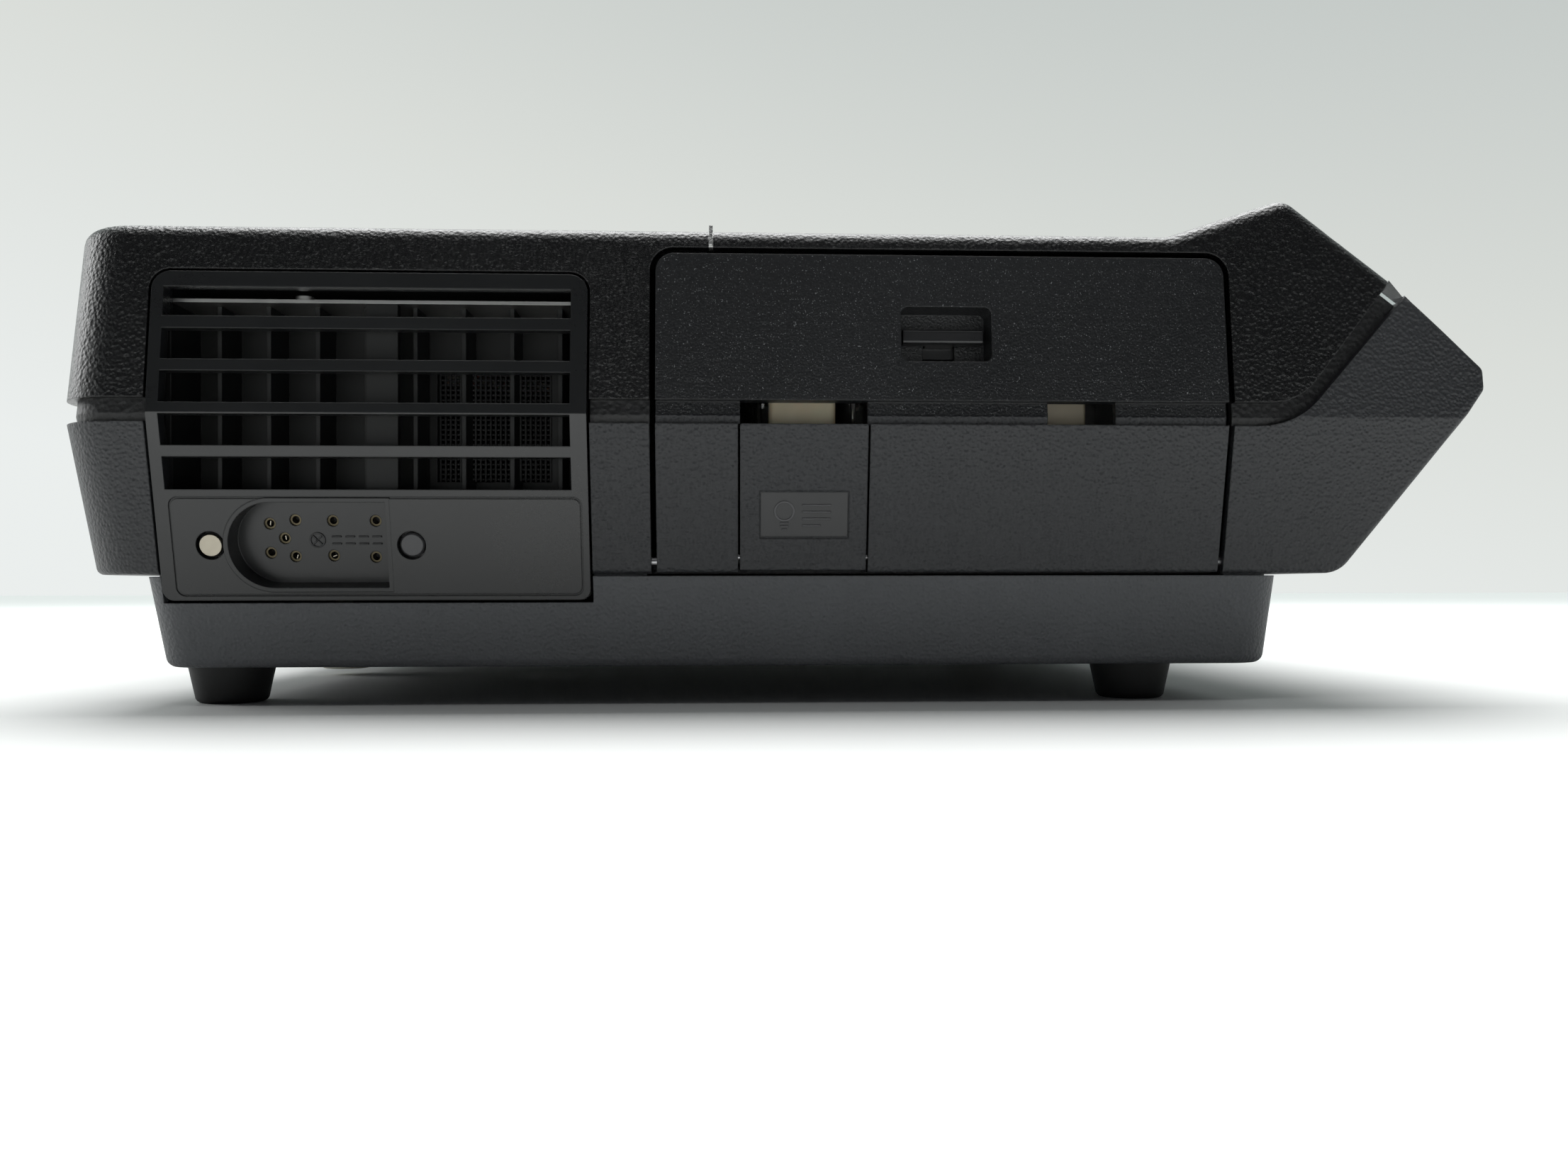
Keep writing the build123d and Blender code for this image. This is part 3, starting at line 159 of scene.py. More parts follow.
class Graph:
    """One material's node tree, with one method that adds every node."""

    def __init__(self, name: str) -> None:
        """Starts an empty material.

        Args:
            name: The material's name.
        """
        self.material = bpy.data.materials.new(name)
        self.material.use_nodes = True
        self.tree = self.material.node_tree
        self.tree.nodes.clear()

    def node(self, kind: str, settings: dict[str, Any], inputs: dict[Any, Any], out: Any = 0) -> Sock:
        """Adds a node, sets it up and fills its sockets.

        Args:
            kind: The node's type.
            settings: Its properties, set before its sockets.
            inputs: Values or links, by socket name or number.
            out: The output to return.

        Returns:
            The chosen output.
        """
        made = self.tree.nodes.new(kind)
        for key, value in settings.items():
            setattr(made, key, value)
        for key, value in inputs.items():
            if isinstance(value, Sock):
                self.tree.links.new(value.link, made.inputs[key])
            else:
                made.inputs[key].default_value = value
        return Sock(self, made.outputs[out])

    def place(self) -> Sock:
        """Object coordinates, in metres."""
        return self.node("ShaderNodeTexCoord", {}, {}, "Object")

    def axis(self, name: str) -> Sock:
        """One Object coordinate, in metres."""
        return self.node("ShaderNodeSeparateXYZ", {}, {0: self.place()}, name)

    def noise(self, scale: float, detail: float = 2.0, rough: float = 0.5, warp: float = 0.0) -> Sock:
        """Noise over Object coordinates, from 0 to 1.

        Args:
            scale: How fine it is, per metre.
            detail: How many octaves it has.
            rough: How strong the finer octaves are.
            warp: How much it is distorted.

        Returns:
            The noise.
        """
        return self.node(
            "ShaderNodeTexNoise",
            {},
            {
                "Vector": self.place(), "Scale": scale, "Detail": detail,
                "Roughness": rough, "Distortion": warp,
            },
            "Fac",
        )

    def cells(self, scale: float, smooth: float = 0.6) -> Sock:
        """Smooth cells over Object coordinates: 0 at their middles, rising to their borders.

        Args:
            scale: How many cells there are, per metre.
            smooth: How far neighbouring cells run together.

        Returns:
            The distance from the nearest middles.
        """
        return self.node(
            "ShaderNodeTexVoronoi",
            {"feature": "SMOOTH_F1"},
            {"Vector": self.place(), "Scale": scale, "Smoothness": smooth, "Randomness": 1.0},
            "Distance",
        )

    def blend(self, factor: Value, low: Any, high: Any) -> Sock:
        """A colour between two others."""
        return self.node("ShaderNodeMix", {"data_type": "RGBA"}, {0: factor, 6: low, 7: high}, 2)

    def bump(self, height: Sock, depth: float, strength: float = 1.0, edge: float = 0.0) -> Sock:
        """A normal roughened by a height, over rounded edges.

        Args:
            height: The height, from 0 to 1.
            depth: What a height of 1 means, in metres.
            strength: How strongly the bump shows.
            edge: Radius of the softened edges, in metres, or 0 for none.

        Returns:
            The normal.
        """
        inputs: dict[Any, Any] = {"Height": height, "Distance": depth, "Strength": strength}
        if edge:
            inputs["Normal"] = self.node("ShaderNodeBevel", {"samples": 4}, {"Radius": edge})
        return self.node("ShaderNodeBump", {}, inputs)

    def finish(self, sockets: dict[str, Any]) -> bpy.types.Material:
        """Adds the Principled shader and the output.

        Args:
            sockets: Values or links of the shader's sockets.

        Returns:
            The finished material.
        """
        shader = self.node("ShaderNodeBsdfPrincipled", {}, sockets)
        end = self.tree.nodes.new("ShaderNodeOutputMaterial")
        self.tree.links.new(shader.link, end.inputs["Surface"])
        return self.material


def tint(color: Color, by: float) -> tuple[float, float, float, float]:
    """A colour made lighter or darker, with full alpha."""
    return (color[0] * by, color[1] * by, color[2] * by, 1.0)


@dataclass(frozen=True)
class GrainedPlastic:
    """Moulded plastic with a leather or pebble grain, dust and scuffs, light grey dots painted as glints on
    the grain, and, where line is given, a bright stripe painted as the highlight of a seam.
    """

    name: str
    color: Color
    grain: float
    depth: float
    rough: float
    cells: float = 0.6
    painted_glint: float = 0.0
    edge: float = 0.0006
    dust: float = 0.25
    line: float | None = None

    def layers(self, g: Graph) -> tuple[Sock, Sock, Sock]:
        """Its colour, roughness and height in metres.

        Args:
            g: The graph that they are added to.

        Returns:
            The three sockets.
        """
        pebble = g.cells(self.grain) * self.cells
        pebble = pebble + g.noise(self.grain * 1.25, 3.0, 0.55) * (1.0 - self.cells)
        fine = g.noise(self.grain * 4.2, 2.0, 0.6)
        wear = g.noise(16.0, 5.0, 0.62, 0.4)
        # Light grey dots in the colour: painted glints of highlight on the grain.
        glint_specks = g.noise(self.grain * 1.9, 1.0, 0.4).above(0.71, 0.03)
        dusty = wear.above(0.56, 0.12) * self.dust
        color = g.blend(dusty, tint(self.color, 1.0), tint(self.color, 1.7))
        color = g.blend(glint_specks * self.painted_glint, color, (0.30, 0.31, 0.32, 1.0))
        rough = self.rough + (wear - 0.5) * 0.16 + (fine - 0.5) * 0.14
        return color, rough, (pebble + fine * 0.22) * self.depth

    def build(self) -> bpy.types.Material:
        """Makes the material.

        Returns:
            The material.
        """
        g = Graph(self.name)
        color, rough, height = self.layers(g)
        sockets: dict[str, Any] = {
            "Base Color": color, "Roughness": rough,
            "Normal": g.bump(height, 1.0, 0.9, self.edge), "IOR": 1.5,
        }
        # A thin bright metallic stripe across the top edge: painted highlight of the seam groove there.
        if self.line is not None:
            off = g.node("ShaderNodeMath", {"operation": "ABSOLUTE"}, {0: g.axis("X") - self.line})
            narrow = 1.0 - off.above(SEAM_HIGHLIGHT_HALF, 0.0001)
            high = g.axis("Z").above(SEAM_HIGHLIGHT_LOW_Z, 0.0002)
            near = (0.0 - g.axis("Y")).above(SEAM_HIGHLIGHT_NEAR_Y, 0.0005)
            wire = narrow * high * near
            sockets["Base Color"] = g.blend(wire, color, (0.55, 0.55, 0.54, 1.0))
            sockets["Roughness"] = rough + (0.25 - rough) * wire
            sockets["Metallic"] = wire * 0.9
        return g.finish(sockets)


@dataclass(frozen=True)
class TwoTonePlastic:
    """One moulding whose grain changes at a level line."""

    name: str
    high: GrainedPlastic
    low: GrainedPlastic
    level: float

    def build(self) -> bpy.types.Material:
        """Makes the material.

        Returns:
            The material.
        """
        g = Graph(self.name)
        split = g.axis("Z").above(self.level, 0.0004)
        high, low = self.high.layers(g), self.low.layers(g)
        height = low[2] + (high[2] - low[2]) * split
        return g.finish({
            "Base Color": g.blend(split, low[0], high[0]),
            "Roughness": low[1] + (high[1] - low[1]) * split,
            "Normal": g.bump(height, 1.0, 0.9, self.high.edge), "IOR": 1.5,
        })


@dataclass(frozen=True)
class SmoothPlastic:
    """Plain moulded or painted surface, with faint orange peel, handling marks and dust."""

    name: str
    color: Color
    rough: float
    texture: float = 900.0
    depth: float = 0.00002
    metallic: float = 0.0
    edge: float = 0.0004
    mottle: float = 0.35
    subsurface: float = 0.0

    def build(self) -> bpy.types.Material:
        """Makes the material.

        Returns:
            The material.
        """
        g = Graph(self.name)
        fine = g.noise(self.texture, 3.0, 0.55)
        broad = g.noise(22.0, 4.0, 0.6, 0.3)
        patches = broad.above(0.52, 0.16) * self.mottle
        color = g.blend(patches, tint(self.color, 0.9), tint(self.color, 1.25))
        rough = self.rough + (broad - 0.5) * 0.18 + (fine - 0.5) * 0.08
        return g.finish({
            "Base Color": color, "Roughness": rough, "Metallic": self.metallic,
            "Subsurface Weight": self.subsurface, "Subsurface Scale": 0.002,
            "Normal": g.bump(fine, self.depth, 0.8, self.edge),
        })


@dataclass(frozen=True)
class BrushedMetal:
    """Sheet or turned metal, with fine lines along one axis."""

    name: str
    color: Color
    rough: float
    along: Point = (1.0, 40.0, 40.0)

    def build(self) -> bpy.types.Material:
        """Makes the material.

        Returns:
            The material.
        """
        g = Graph(self.name)
        scale = tuple(90.0 * value for value in self.along)
        stretched = g.node("ShaderNodeMapping", {}, {"Vector": g.place(), "Scale": scale})
        lines = g.node(
            "ShaderNodeTexNoise", {}, {"Vector": stretched, "Scale": 1.0, "Detail": 3.0}, "Fac"
        )
        stain = g.noise(30.0, 4.0, 0.6, 0.5)
        color = g.blend(stain.above(0.55, 0.14) * 0.5, tint(self.color, 1.0), tint(self.color, 0.62))
        rough = self.rough + (lines - 0.5) * 0.2 + (stain - 0.5) * 0.2
        return g.finish({
            "Base Color": color, "Metallic": 1.0, "Roughness": rough,
            "Normal": g.bump(lines, 0.00001, 0.6, 0.0002),
        })


@dataclass(frozen=True)
class ClearMaterial:
    """Glass or acrylic, with faint smears on its faces."""

    name: str
    color: Color
    rough: float
    ior: float = 1.5
    alpha: float = 1.0

    def build(self) -> bpy.types.Material:
        """Makes the material.

        Returns:
            The material.
        """
        g = Graph(self.name)
        smear = g.noise(60.0, 4.0, 0.6, 0.8)
        return g.finish({
            "Base Color": (*self.color, 1.0), "Roughness": self.rough + (smear - 0.5) * 0.08,
            "Transmission Weight": 0.92, "IOR": self.ior, "Alpha": self.alpha,
            "Normal": g.bump(smear, 0.00002, 0.3),
        })


UPPER_GRAIN = GrainedPlastic(
    "upper_leather_grain", (0.0017, 0.0018, 0.0021), 950.0, 0.00042, 0.29, 0.6, 0.02,
    line=SPINDLE_X * MM,
)
DOOR_GRAIN = GrainedPlastic(
    "door_fine_grain", (0.0050, 0.0055, 0.0064), 1500.0, 0.00022, 0.38, 0.5, 0.5
)
# The pebble grain is the lower shell's own; its colour, far lighter than the upper shell's black, is painted
# reflection of the white table under it.
LOWER_GRAIN_TABLE_LIT = GrainedPlastic(
    "lower_pebble_grain_table_lit", (0.0172, 0.0182, 0.0205), 1000.0, 0.00050, 0.48, 0.75, 0.02
)
FINISHES: dict[str, Any] = {
    "shell_upper": UPPER_GRAIN,
    # Below the level the door takes the lower grain, lighter with the same painted table reflection.
    "door_upper": TwoTonePlastic("door_two_grains", DOOR_GRAIN, LOWER_GRAIN_TABLE_LIT, 0.0802),
    "shell_lower": LOWER_GRAIN_TABLE_LIT,
    # Same black plastic as the shells, given a far lighter colour: painted reflection of the white table
    # close under the base.
    "base_grain": GrainedPlastic(
        "base_pebble_grain_table_lit", (0.066, 0.069, 0.075), 1000.0, 0.00044, 0.50, 0.75, 0.02
    ),
    "groove_band": GrainedPlastic(
        "groove_coarse_grain", (0.0055, 0.0056, 0.006), 700.0, 0.00030, 0.5, 0.8, 0.03
    ),
    "pad_smooth": SmoothPlastic("pad_smooth_plastic", (0.0095, 0.0100, 0.0112), 0.32),
    "foam": GrainedPlastic("filter_foam", (0.006, 0.006, 0.0065), 900.0, 0.0008, 0.9, 0.9),
    "grille": SmoothPlastic("grille_satin_plastic", (0.0105, 0.0110, 0.0116), 0.30),
    # Far darker than the black paint it replaces: painted shade inside the exhaust duct behind the grille.
    "duct_dark": SmoothPlastic("duct_painted_shade", (0.0016, 0.0020, 0.0018), 0.5),
    "contact_dark": BrushedMetal("tarnished_contact", (0.10, 0.085, 0.055), 0.42, (1.0, 1.0, 1.0)),
    "clear_acrylic": ClearMaterial("clear_acrylic_bar", (0.93, 0.95, 0.95), 0.05),
    "opal_plastic": SmoothPlastic(
        "opal_diffuser", (0.36, 0.315, 0.225), 0.42, mottle=0.6, subsurface=0.3
    ),
    "ceramic": SmoothPlastic("lamp_ceramic", (0.50, 0.44, 0.33), 0.6, mottle=0.7),
    "optical_glass": ClearMaterial("optical_glass", (0.97, 0.99, 0.98), 0.02, 1.52),
    "mirror_coat": BrushedMetal("reflector_coat", (0.9, 0.9, 0.92), 0.08, (1.0, 1.0, 1.0)),
    "sheet_steel": BrushedMetal("sheet_steel", (0.50, 0.50, 0.49), 0.38),
    "steel_pin": BrushedMetal("turned_steel", (0.48, 0.48, 0.49), 0.3),
    "rubber_foot": SmoothPlastic("foot_rubber", (0.010, 0.010, 0.0105), 0.62, depth=0.00005),
    "black_paint": SmoothPlastic("black_paint", (0.012, 0.012, 0.013), 0.42),
    "panel_metal": BrushedMetal("panel_aluminium", (0.21, 0.21, 0.22), 0.4, (40.0, 1.0, 40.0)),
    "key_plastic": SmoothPlastic("key_plastic", (0.012, 0.012, 0.013), 0.30),
    "white_nylon": SmoothPlastic("white_nylon", (0.62, 0.60, 0.53), 0.48, subsurface=0.1),
    "winding": SmoothPlastic("varnished_core", (0.16, 0.07, 0.02), 0.45, mottle=0.8),
    "motor_steel": SmoothPlastic("motor_paint", (0.10, 0.11, 0.12), 0.4, metallic=0.5),
    "board_green": SmoothPlastic("board_laminate", (0.02, 0.10, 0.04), 0.4, mottle=0.7),
    "jack_nickel": BrushedMetal("jack_nickel", (0.42, 0.385, 0.315), 0.34, (1.0, 1.0, 1.0)),
    "jack_dark": SmoothPlastic("jack_dark", (0.060, 0.060, 0.063), 0.34, metallic=0.3),
    "print_white": SmoothPlastic("panel_print", (0.62, 0.62, 0.60), 0.5, mottle=0.5),
    "print_dark": SmoothPlastic("panel_ink", (0.012, 0.012, 0.012), 0.5),
    # Near-black finish: the flat screw and button slots drawn with it are painted shade of those recesses; it
    # also floors the light bar's channel.
    "dark_inside": SmoothPlastic("dark_inside", (0.004, 0.004, 0.0045), 0.7),
}


class FinishStore:
    """Builds each finish once and hands it out."""

    def __init__(self) -> None:
        """Starts with no finish built."""
        self._built: dict[str, bpy.types.Material] = {}

    def get(self, name: str) -> bpy.types.Material:
        """The material of one finish.

        Args:
            name: The finish's name.

        Returns:
            Its material, built on the first call.
        """
        if name not in self._built:
            self._built[name] = FINISHES[name].build()
        return self._built[name]


@dataclass
class CadDressing:
    """Gives every CAD node its finish."""

    frame: dict[str, Any]
    finishes: FinishStore
    special: dict[str, str] = field(default_factory=lambda: {
        "side_door": "door_upper", "base_pan": "base_grain", "exhaust_duct": "duct_dark",
        "socket_contacts": "contact_dark", "socket_posts": "jack_dark",
    })

    def dress(self) -> None:
        """Assigns a finish to each node from its material slot."""
        slots = {row["node"]: row["material_slot"] for row in self.frame["record"]["subparts"]}
        for name, node in self.frame["nodes"].items():
            finish = self.special.get(name, slots[name])
            node.data.materials.clear()
            node.data.materials.append(self.finishes.get(finish))
            LOG.info("dressed %s with %s", name, finish)


@dataclass
class Studio:
    """Camera, floor, backdrop light and lamps."""

    camera_at: Point = (-0.0105, -0.479, 0.033)
    yaw_deg: float = -2.6
    roll_deg: float = 0.1
    lens_mm: float = 28.0
    sensor_mm: float = 36.0

    def camera(self) -> None:
        """Makes the scene's camera."""
        data = bpy.data.cameras.new("camera")
        data.lens = self.lens_mm
        data.sensor_width = self.sensor_mm
        data.clip_start = 0.01
        data.clip_end = 50.0
        made = bpy.data.objects.new("camera", data)
        bpy.context.scene.collection.objects.link(made)
        made.location = self.camera_at
        turns = (90.0, self.roll_deg, self.yaw_deg)
        made.rotation_euler = [math.radians(value) for value in turns]
        bpy.context.scene.camera = made

    def floor(self) -> None:
        """Makes the pale table top."""
        mesh = bmesh.new()
        bmesh.ops.create_grid(mesh, x_segments=1, y_segments=1, size=6.0)
        made = new_object("floor", mesh)
        g = Graph("pale_table")
        stain = g.noise(9.0, 5.0, 0.6, 0.4)
        color = g.blend(stain.above(0.6, 0.1) * 0.12, (0.86, 0.87, 0.86, 1.0), (0.70, 0.71, 0.70, 1.0))
        reach = g.node("ShaderNodeVectorMath", {"operation": "LENGTH"}, {0: g.place()}, "Value")
        far = reach.above(1.0, 0.6)
        near = (0.0 - g.axis("Y")).above(0.42, 0.25) * (1.0 - far)
        glow = g.blend(far, (0.0, 0.0, 0.0, 1.0), (0.25, 0.265, 0.26, 1.0))
        made.data.materials.append(g.finish({
            "Base Color": color, "Roughness": 0.6, "Specular IOR Level": 0.2, "Emission Strength": 2.0,
            "Emission Color": g.blend(near, glow, (0.85, 0.86, 0.86, 1.0)),
        }))

    def lamp(self, name: str, at: Point, aim: Point, size: tuple[float, float], power: float) -> None:
        """Makes one soft rectangular light.

        Args:
            name: The light's name.
            at: Where it is.
            aim: What it points at.
            size: Its width and height.
            power: Its power in watts.
        """
        data = bpy.data.lights.new(name, "AREA")
        data.shape = "RECTANGLE"
        data.size, data.size_y = size
        data.energy = power
        made = bpy.data.objects.new(name, data)
        bpy.context.scene.collection.objects.link(made)
        made.location = at
        made.rotation_euler = (Vector(aim) - Vector(at)).to_track_quat("-Z", "Y").to_euler()

    def world(self) -> None:
        """Makes the pale surroundings, brighter behind the object and dark behind the camera."""
        world = bpy.data.worlds.new("studio")
        bpy.context.scene.world = world
        world.use_nodes = True
        nodes, links = world.node_tree.nodes, world.node_tree.links
        nodes.clear()
        direction = nodes.new("ShaderNodeTexCoord")
        split = nodes.new("ShaderNodeSeparateXYZ")
        links.new(direction.outputs["Generated"], split.inputs[0])
        depth = nodes.new("ShaderNodeMapRange")
        depth.inputs["From Min"].default_value = -0.9
        depth.inputs["From Max"].default_value = 0.9
        links.new(split.outputs["Y"], depth.inputs["Value"])
        ramp = nodes.new("ShaderNodeValToRGB")
        ramp.color_ramp.elements[0].color = (0.045, 0.046, 0.05, 1.0)
        ramp.color_ramp.elements[1].color = (0.60, 0.66, 0.64, 1.0)
        ramp.color_ramp.elements[0].position = 0.25
        ramp.color_ramp.elements[1].position = 0.9
        links.new(depth.outputs[0], ramp.inputs[0])
        height = nodes.new("ShaderNodeValToRGB")
        height.color_ramp.elements[0].color = (0.83, 0.86, 0.85, 1.0)
        height.color_ramp.elements[1].color = (0.48, 0.52, 0.51, 1.0)
        height.color_ramp.elements[1].position = 0.62
        middle = height.color_ramp.elements.new(0.28)
        middle.color = (0.70, 0.725, 0.695, 1.0)
        aside = nodes.new("ShaderNodeMath")
        aside.operation = "MULTIPLY_ADD"
        aside.inputs[1].default_value = 0.22
        links.new(split.outputs["X"], aside.inputs[0])
        links.new(split.outputs["Z"], aside.inputs[2])
        links.new(aside.outputs[0], height.inputs[0])
        seen = nodes.new("ShaderNodeLightPath")
        mix = nodes.new("ShaderNodeMix")
        mix.data_type = "RGBA"
        links.new(seen.outputs["Is Camera Ray"], mix.inputs[0])
        links.new(ramp.outputs[0], mix.inputs[6])
        links.new(height.outputs[0], mix.inputs[7])
        back = nodes.new("ShaderNodeBackground")
        links.new(mix.outputs[2], back.inputs["Color"])
        out = nodes.new("ShaderNodeOutputWorld")
        links.new(back.outputs[0], out.inputs["Surface"])

    def build(self) -> None:
        """Makes the whole studio."""
        bpy.context.scene.view_settings.view_transform = "Standard"
        self.world()
        self.floor()
        self.lamp("top_light", (0.0, 0.50, 1.5), (0.0, 0.0, 0.05), (1.9, 1.2), 42.0)
        self.lamp("left_light", (-1.6, 0.35, 0.6), (0.0, 0.0, 0.05), (0.8, 0.8), 8.0)
        self.lamp("front_light", (0.0, -1.0, 1.9), (0.0, -0.45, 0.0), (1.4, 0.4), 3.5)


def new_object(name: str, mesh: bmesh.types.BMesh) -> bpy.types.Object:
    """Turns a bmesh into a linked object at the origin.

    Args:
        name: The object's name.
        mesh: The finished bmesh, which is freed.

    Returns:
        The object.
    """
    bmesh.ops.remove_doubles(mesh, verts=mesh.verts, dist=1e-7)
    bmesh.ops.recalc_face_normals(mesh, faces=mesh.faces)
    data = bpy.data.meshes.new(name)
    mesh.to_mesh(data)
    mesh.free()
    made = bpy.data.objects.new(name, data)
    bpy.context.scene.collection.objects.link(made)
    return made


def plane(origin: Point, right: Point, out: Point) -> Matrix:
    """The frame of a flat face: its own X to the right, Y up and Z out of it.

    Args:
        origin: A point on the face, in millimetres.
        right: The direction of its X.
        out: Its outward normal.

    Returns:
        A matrix from the face's own metres to the row frame.
    """
    x, z = Vector(right).normalized(), Vector(out).normalized()
    y = z.cross(x)
    made = Matrix((x, y, z)).transposed().to_4x4()
    made.translation = Vector(origin) * MM
    return made


SIDE_LEAN = math.radians(12.0)
PANEL_TILT = math.atan2(143.4 - 120.0, 176.0 - 147.0)
LOWER_SIDE = plane((0.0, -141.518, 44.8), (1, 0, 0), (0, -math.cos(SIDE_LEAN), -math.sin(SIDE_LEAN)))
PANEL_FACE = plane((162.5, 0.0, 130.9), (0, 1, 0), (math.sin(PANEL_TILT), 0, math.cos(PANEL_TILT)))
DECK_FACE = plane((SPINDLE_X, 0.0, 129.4), (1, 0, 0), (0, 0, 1))
UNDERSIDE = plane((0.0, 0.0, 11.0), (1, 0, 0), (0, 0, -1))


class Sketch:
    """Gathers simple solids on one face, in millimetres, into one mesh."""

    def __init__(self, face: Matrix) -> None:
        """Starts empty.

        Args:
            face: The face that the solids stand on.
        """
        self.face = face
        self.mesh = bmesh.new()

    def _settle(self, made: dict[str, Any], at: Spot, low: float, turn: float) -> list[Any]:
        """Moves new geometry to its place on the face.

        Args:
            made: What the operator returned.
            at: Its place on the face.
            low: The height of its underside.
            turn: Its turn about the face's normal, in degrees.

        Returns:
            The vertices.
        """
        verts = made["verts"]
        spin = Matrix.Rotation(math.radians(turn), 4, "Z")
        move = Matrix.Translation((at[0] * MM, at[1] * MM, low * MM)) @ spin
        bmesh.ops.transform(self.mesh, matrix=self.face @ move, verts=verts)
        return verts

    def _raise(self, ring: dict[str, Any], height: float) -> list[Any]:
        """Extrudes a flat face upwards into a solid.

        Args:
            ring: What the flat shape's operator returned.
            height: The solid's height.

        Returns:
            All of its vertices.
        """
        faces = list({face for vert in ring["verts"] for face in vert.link_faces})
        grown = bmesh.ops.extrude_face_region(self.mesh, geom=faces, use_keep_orig=True)
        top = [item for item in grown["geom"] if isinstance(item, bmesh.types.BMVert)]
        bmesh.ops.translate(self.mesh, vec=(0, 0, height * MM), verts=top)
        return ring["verts"] + top

    def box(
        self, size: Point, at: Spot, low: float = 0.0, turn: float = 0.0, soft: float = 0.0
    ) -> None:
        """Adds a box, with its edges bevelled if soft is given.

        Args:
            size: Width, height on the face, and thickness.
            at: Its middle on the face.
            low: The height of its underside.
            turn: Its turn on the face, in degrees.
            soft: The bevel's width.
        """
        made = bmesh.ops.create_cube(self.mesh, size=1.0)
        bmesh.ops.scale(self.mesh, vec=[value * MM for value in size], verts=made["verts"])
        bmesh.ops.translate(self.mesh, vec=(0, 0, size[2] * MM / 2), verts=made["verts"])
        if soft:
            edges = list({edge for vert in made["verts"] for edge in vert.link_edges})
            grown = bmesh.ops.bevel(
                self.mesh, geom=edges, offset=soft * MM, segments=2, profile=0.5,
                affect="EDGES", material=-1,
            )
            rounded = {vert for face in grown["faces"] for vert in face.verts}
            kept = {vert for vert in made["verts"] if vert.is_valid}
            made = {"verts": list(rounded | kept)}
        self._settle(made, at, low, turn)

    def disc(
        self, radius: float, height: float, at: Spot, low: float = 0.0, sides: int = 32,
        turn: float = 0.0, top: float = 1.0,
    ) -> None:
        """Adds a round or many-sided post.

        Args:
            radius: Its radius.
            height: Its height.
            at: Its middle on the face.
            low: The height of its underside.
            sides: How many sides it has.
            turn: Its turn on the face, in degrees.
            top: Its top radius over its bottom radius.
        """
        made = bmesh.ops.create_cone(
            self.mesh, cap_ends=True, cap_tris=False, segments=sides,
            radius1=radius * MM, radius2=radius * top * MM, depth=height * MM,
        )
        bmesh.ops.translate(self.mesh, vec=(0, 0, height * MM / 2), verts=made["verts"])
        self._settle(made, at, low, turn)

    def ring(
        self, outer: float, inner: float, height: float, at: Spot, low: float = 0.0, sides: int = 40
    ) -> None:
        """Adds a flat ring.

        Args:
            outer: Its outer radius.
            inner: Its inner radius.
            height: Its thickness.
            at: Its middle on the face.
            low: The height of its underside.
            sides: How many steps it has.
        """
        corners = [(inner, 0), (outer, 0), (outer, height), (inner, height)]
        verts = [self.mesh.verts.new((x * MM, 0, z * MM)) for x, z in corners]
        edges = [self.mesh.edges.new((verts[i], verts[(i + 1) % 4])) for i in range(4)]
        made = bmesh.ops.spin(
            self.mesh, geom=verts + edges, cent=(0, 0, 0), axis=(0, 0, 1), dvec=(0, 0, 0),
            angle=math.tau, steps=sides, use_merge=True, use_duplicate=False,
        )
        found = {vert for vert in verts if vert.is_valid}
        for item in made["geom_last"]:
            found.update(item.verts if hasattr(item, "verts") else [item])
        island = self._island(found)
        self._settle({"verts": island}, at, low, 0.0)

    @staticmethod
    def _island(seed: Iterable[Any]) -> list[Any]:
        """All vertices joined to some first ones.

        Args:
            seed: The first vertices.

        Returns:
            Those and every vertex reached from them along edges.
        """
        todo, seen = list(seed), set(seed)
        while todo:
            for edge in todo.pop().link_edges:
                for vert in edge.verts:
                    if vert not in seen:
                        seen.add(vert)
                        todo.append(vert)
        return list(seen)

    def done(self, name: str, finish: bpy.types.Material, body: Body) -> bpy.types.Object:
        """Makes the object, dresses it and puts it on its body.

        Args:
            name: The piece's name.
            finish: Its material.
            body: The body that it rides on.

        Returns:
            The object.
        """
        made = new_object(name, self.mesh)
        made.data.materials.append(finish)
        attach(made, body.value)
        LOG.info("made %s", name)
        return made


@dataclass
class FlapMark:
    """The reading-light pad, with a raised bulb and page on it."""

    finishes: FinishStore
    middle: Spot = (10.4, 8.6)
    height: float = 0.45

    def build(self) -> None:
        """Makes the mark."""
        x, y = self.middle
        pad = Sketch(LOWER_SIDE @ Matrix.Translation((0, 0, -0.56 * MM)))
        pad.box((24.2, 12.5, 0.12), (x, y))
        pad.done("reading_light_pad", self.finishes.get("pad_smooth"), Body.FLAP)
        mark = Sketch(LOWER_SIDE @ Matrix.Translation((0, 0, -0.52 * MM)))
        mark.ring(2.9, 2.3, self.height, (x - 5.5, y + 0.9))
        mark.box((2.4, 0.5, self.height), (x - 5.5, y - 2.4), soft=0.1)
        mark.box((2.4, 0.5, self.height), (x - 5.5, y - 3.3), soft=0.1)
        mark.box((1.5, 0.5, self.height), (x - 5.5, y - 4.2), soft=0.1)
        for row in range(4):
            length, right = (8.0, 3.4) if row < 3 else (5.2, 2.0)
            mark.box((length, 0.55, self.height), (x + right, y + 2.6 - row * 1.9), soft=0.1)
        mark.done("reading_light_mark", self.finishes.get("jack_dark"), Body.FLAP)


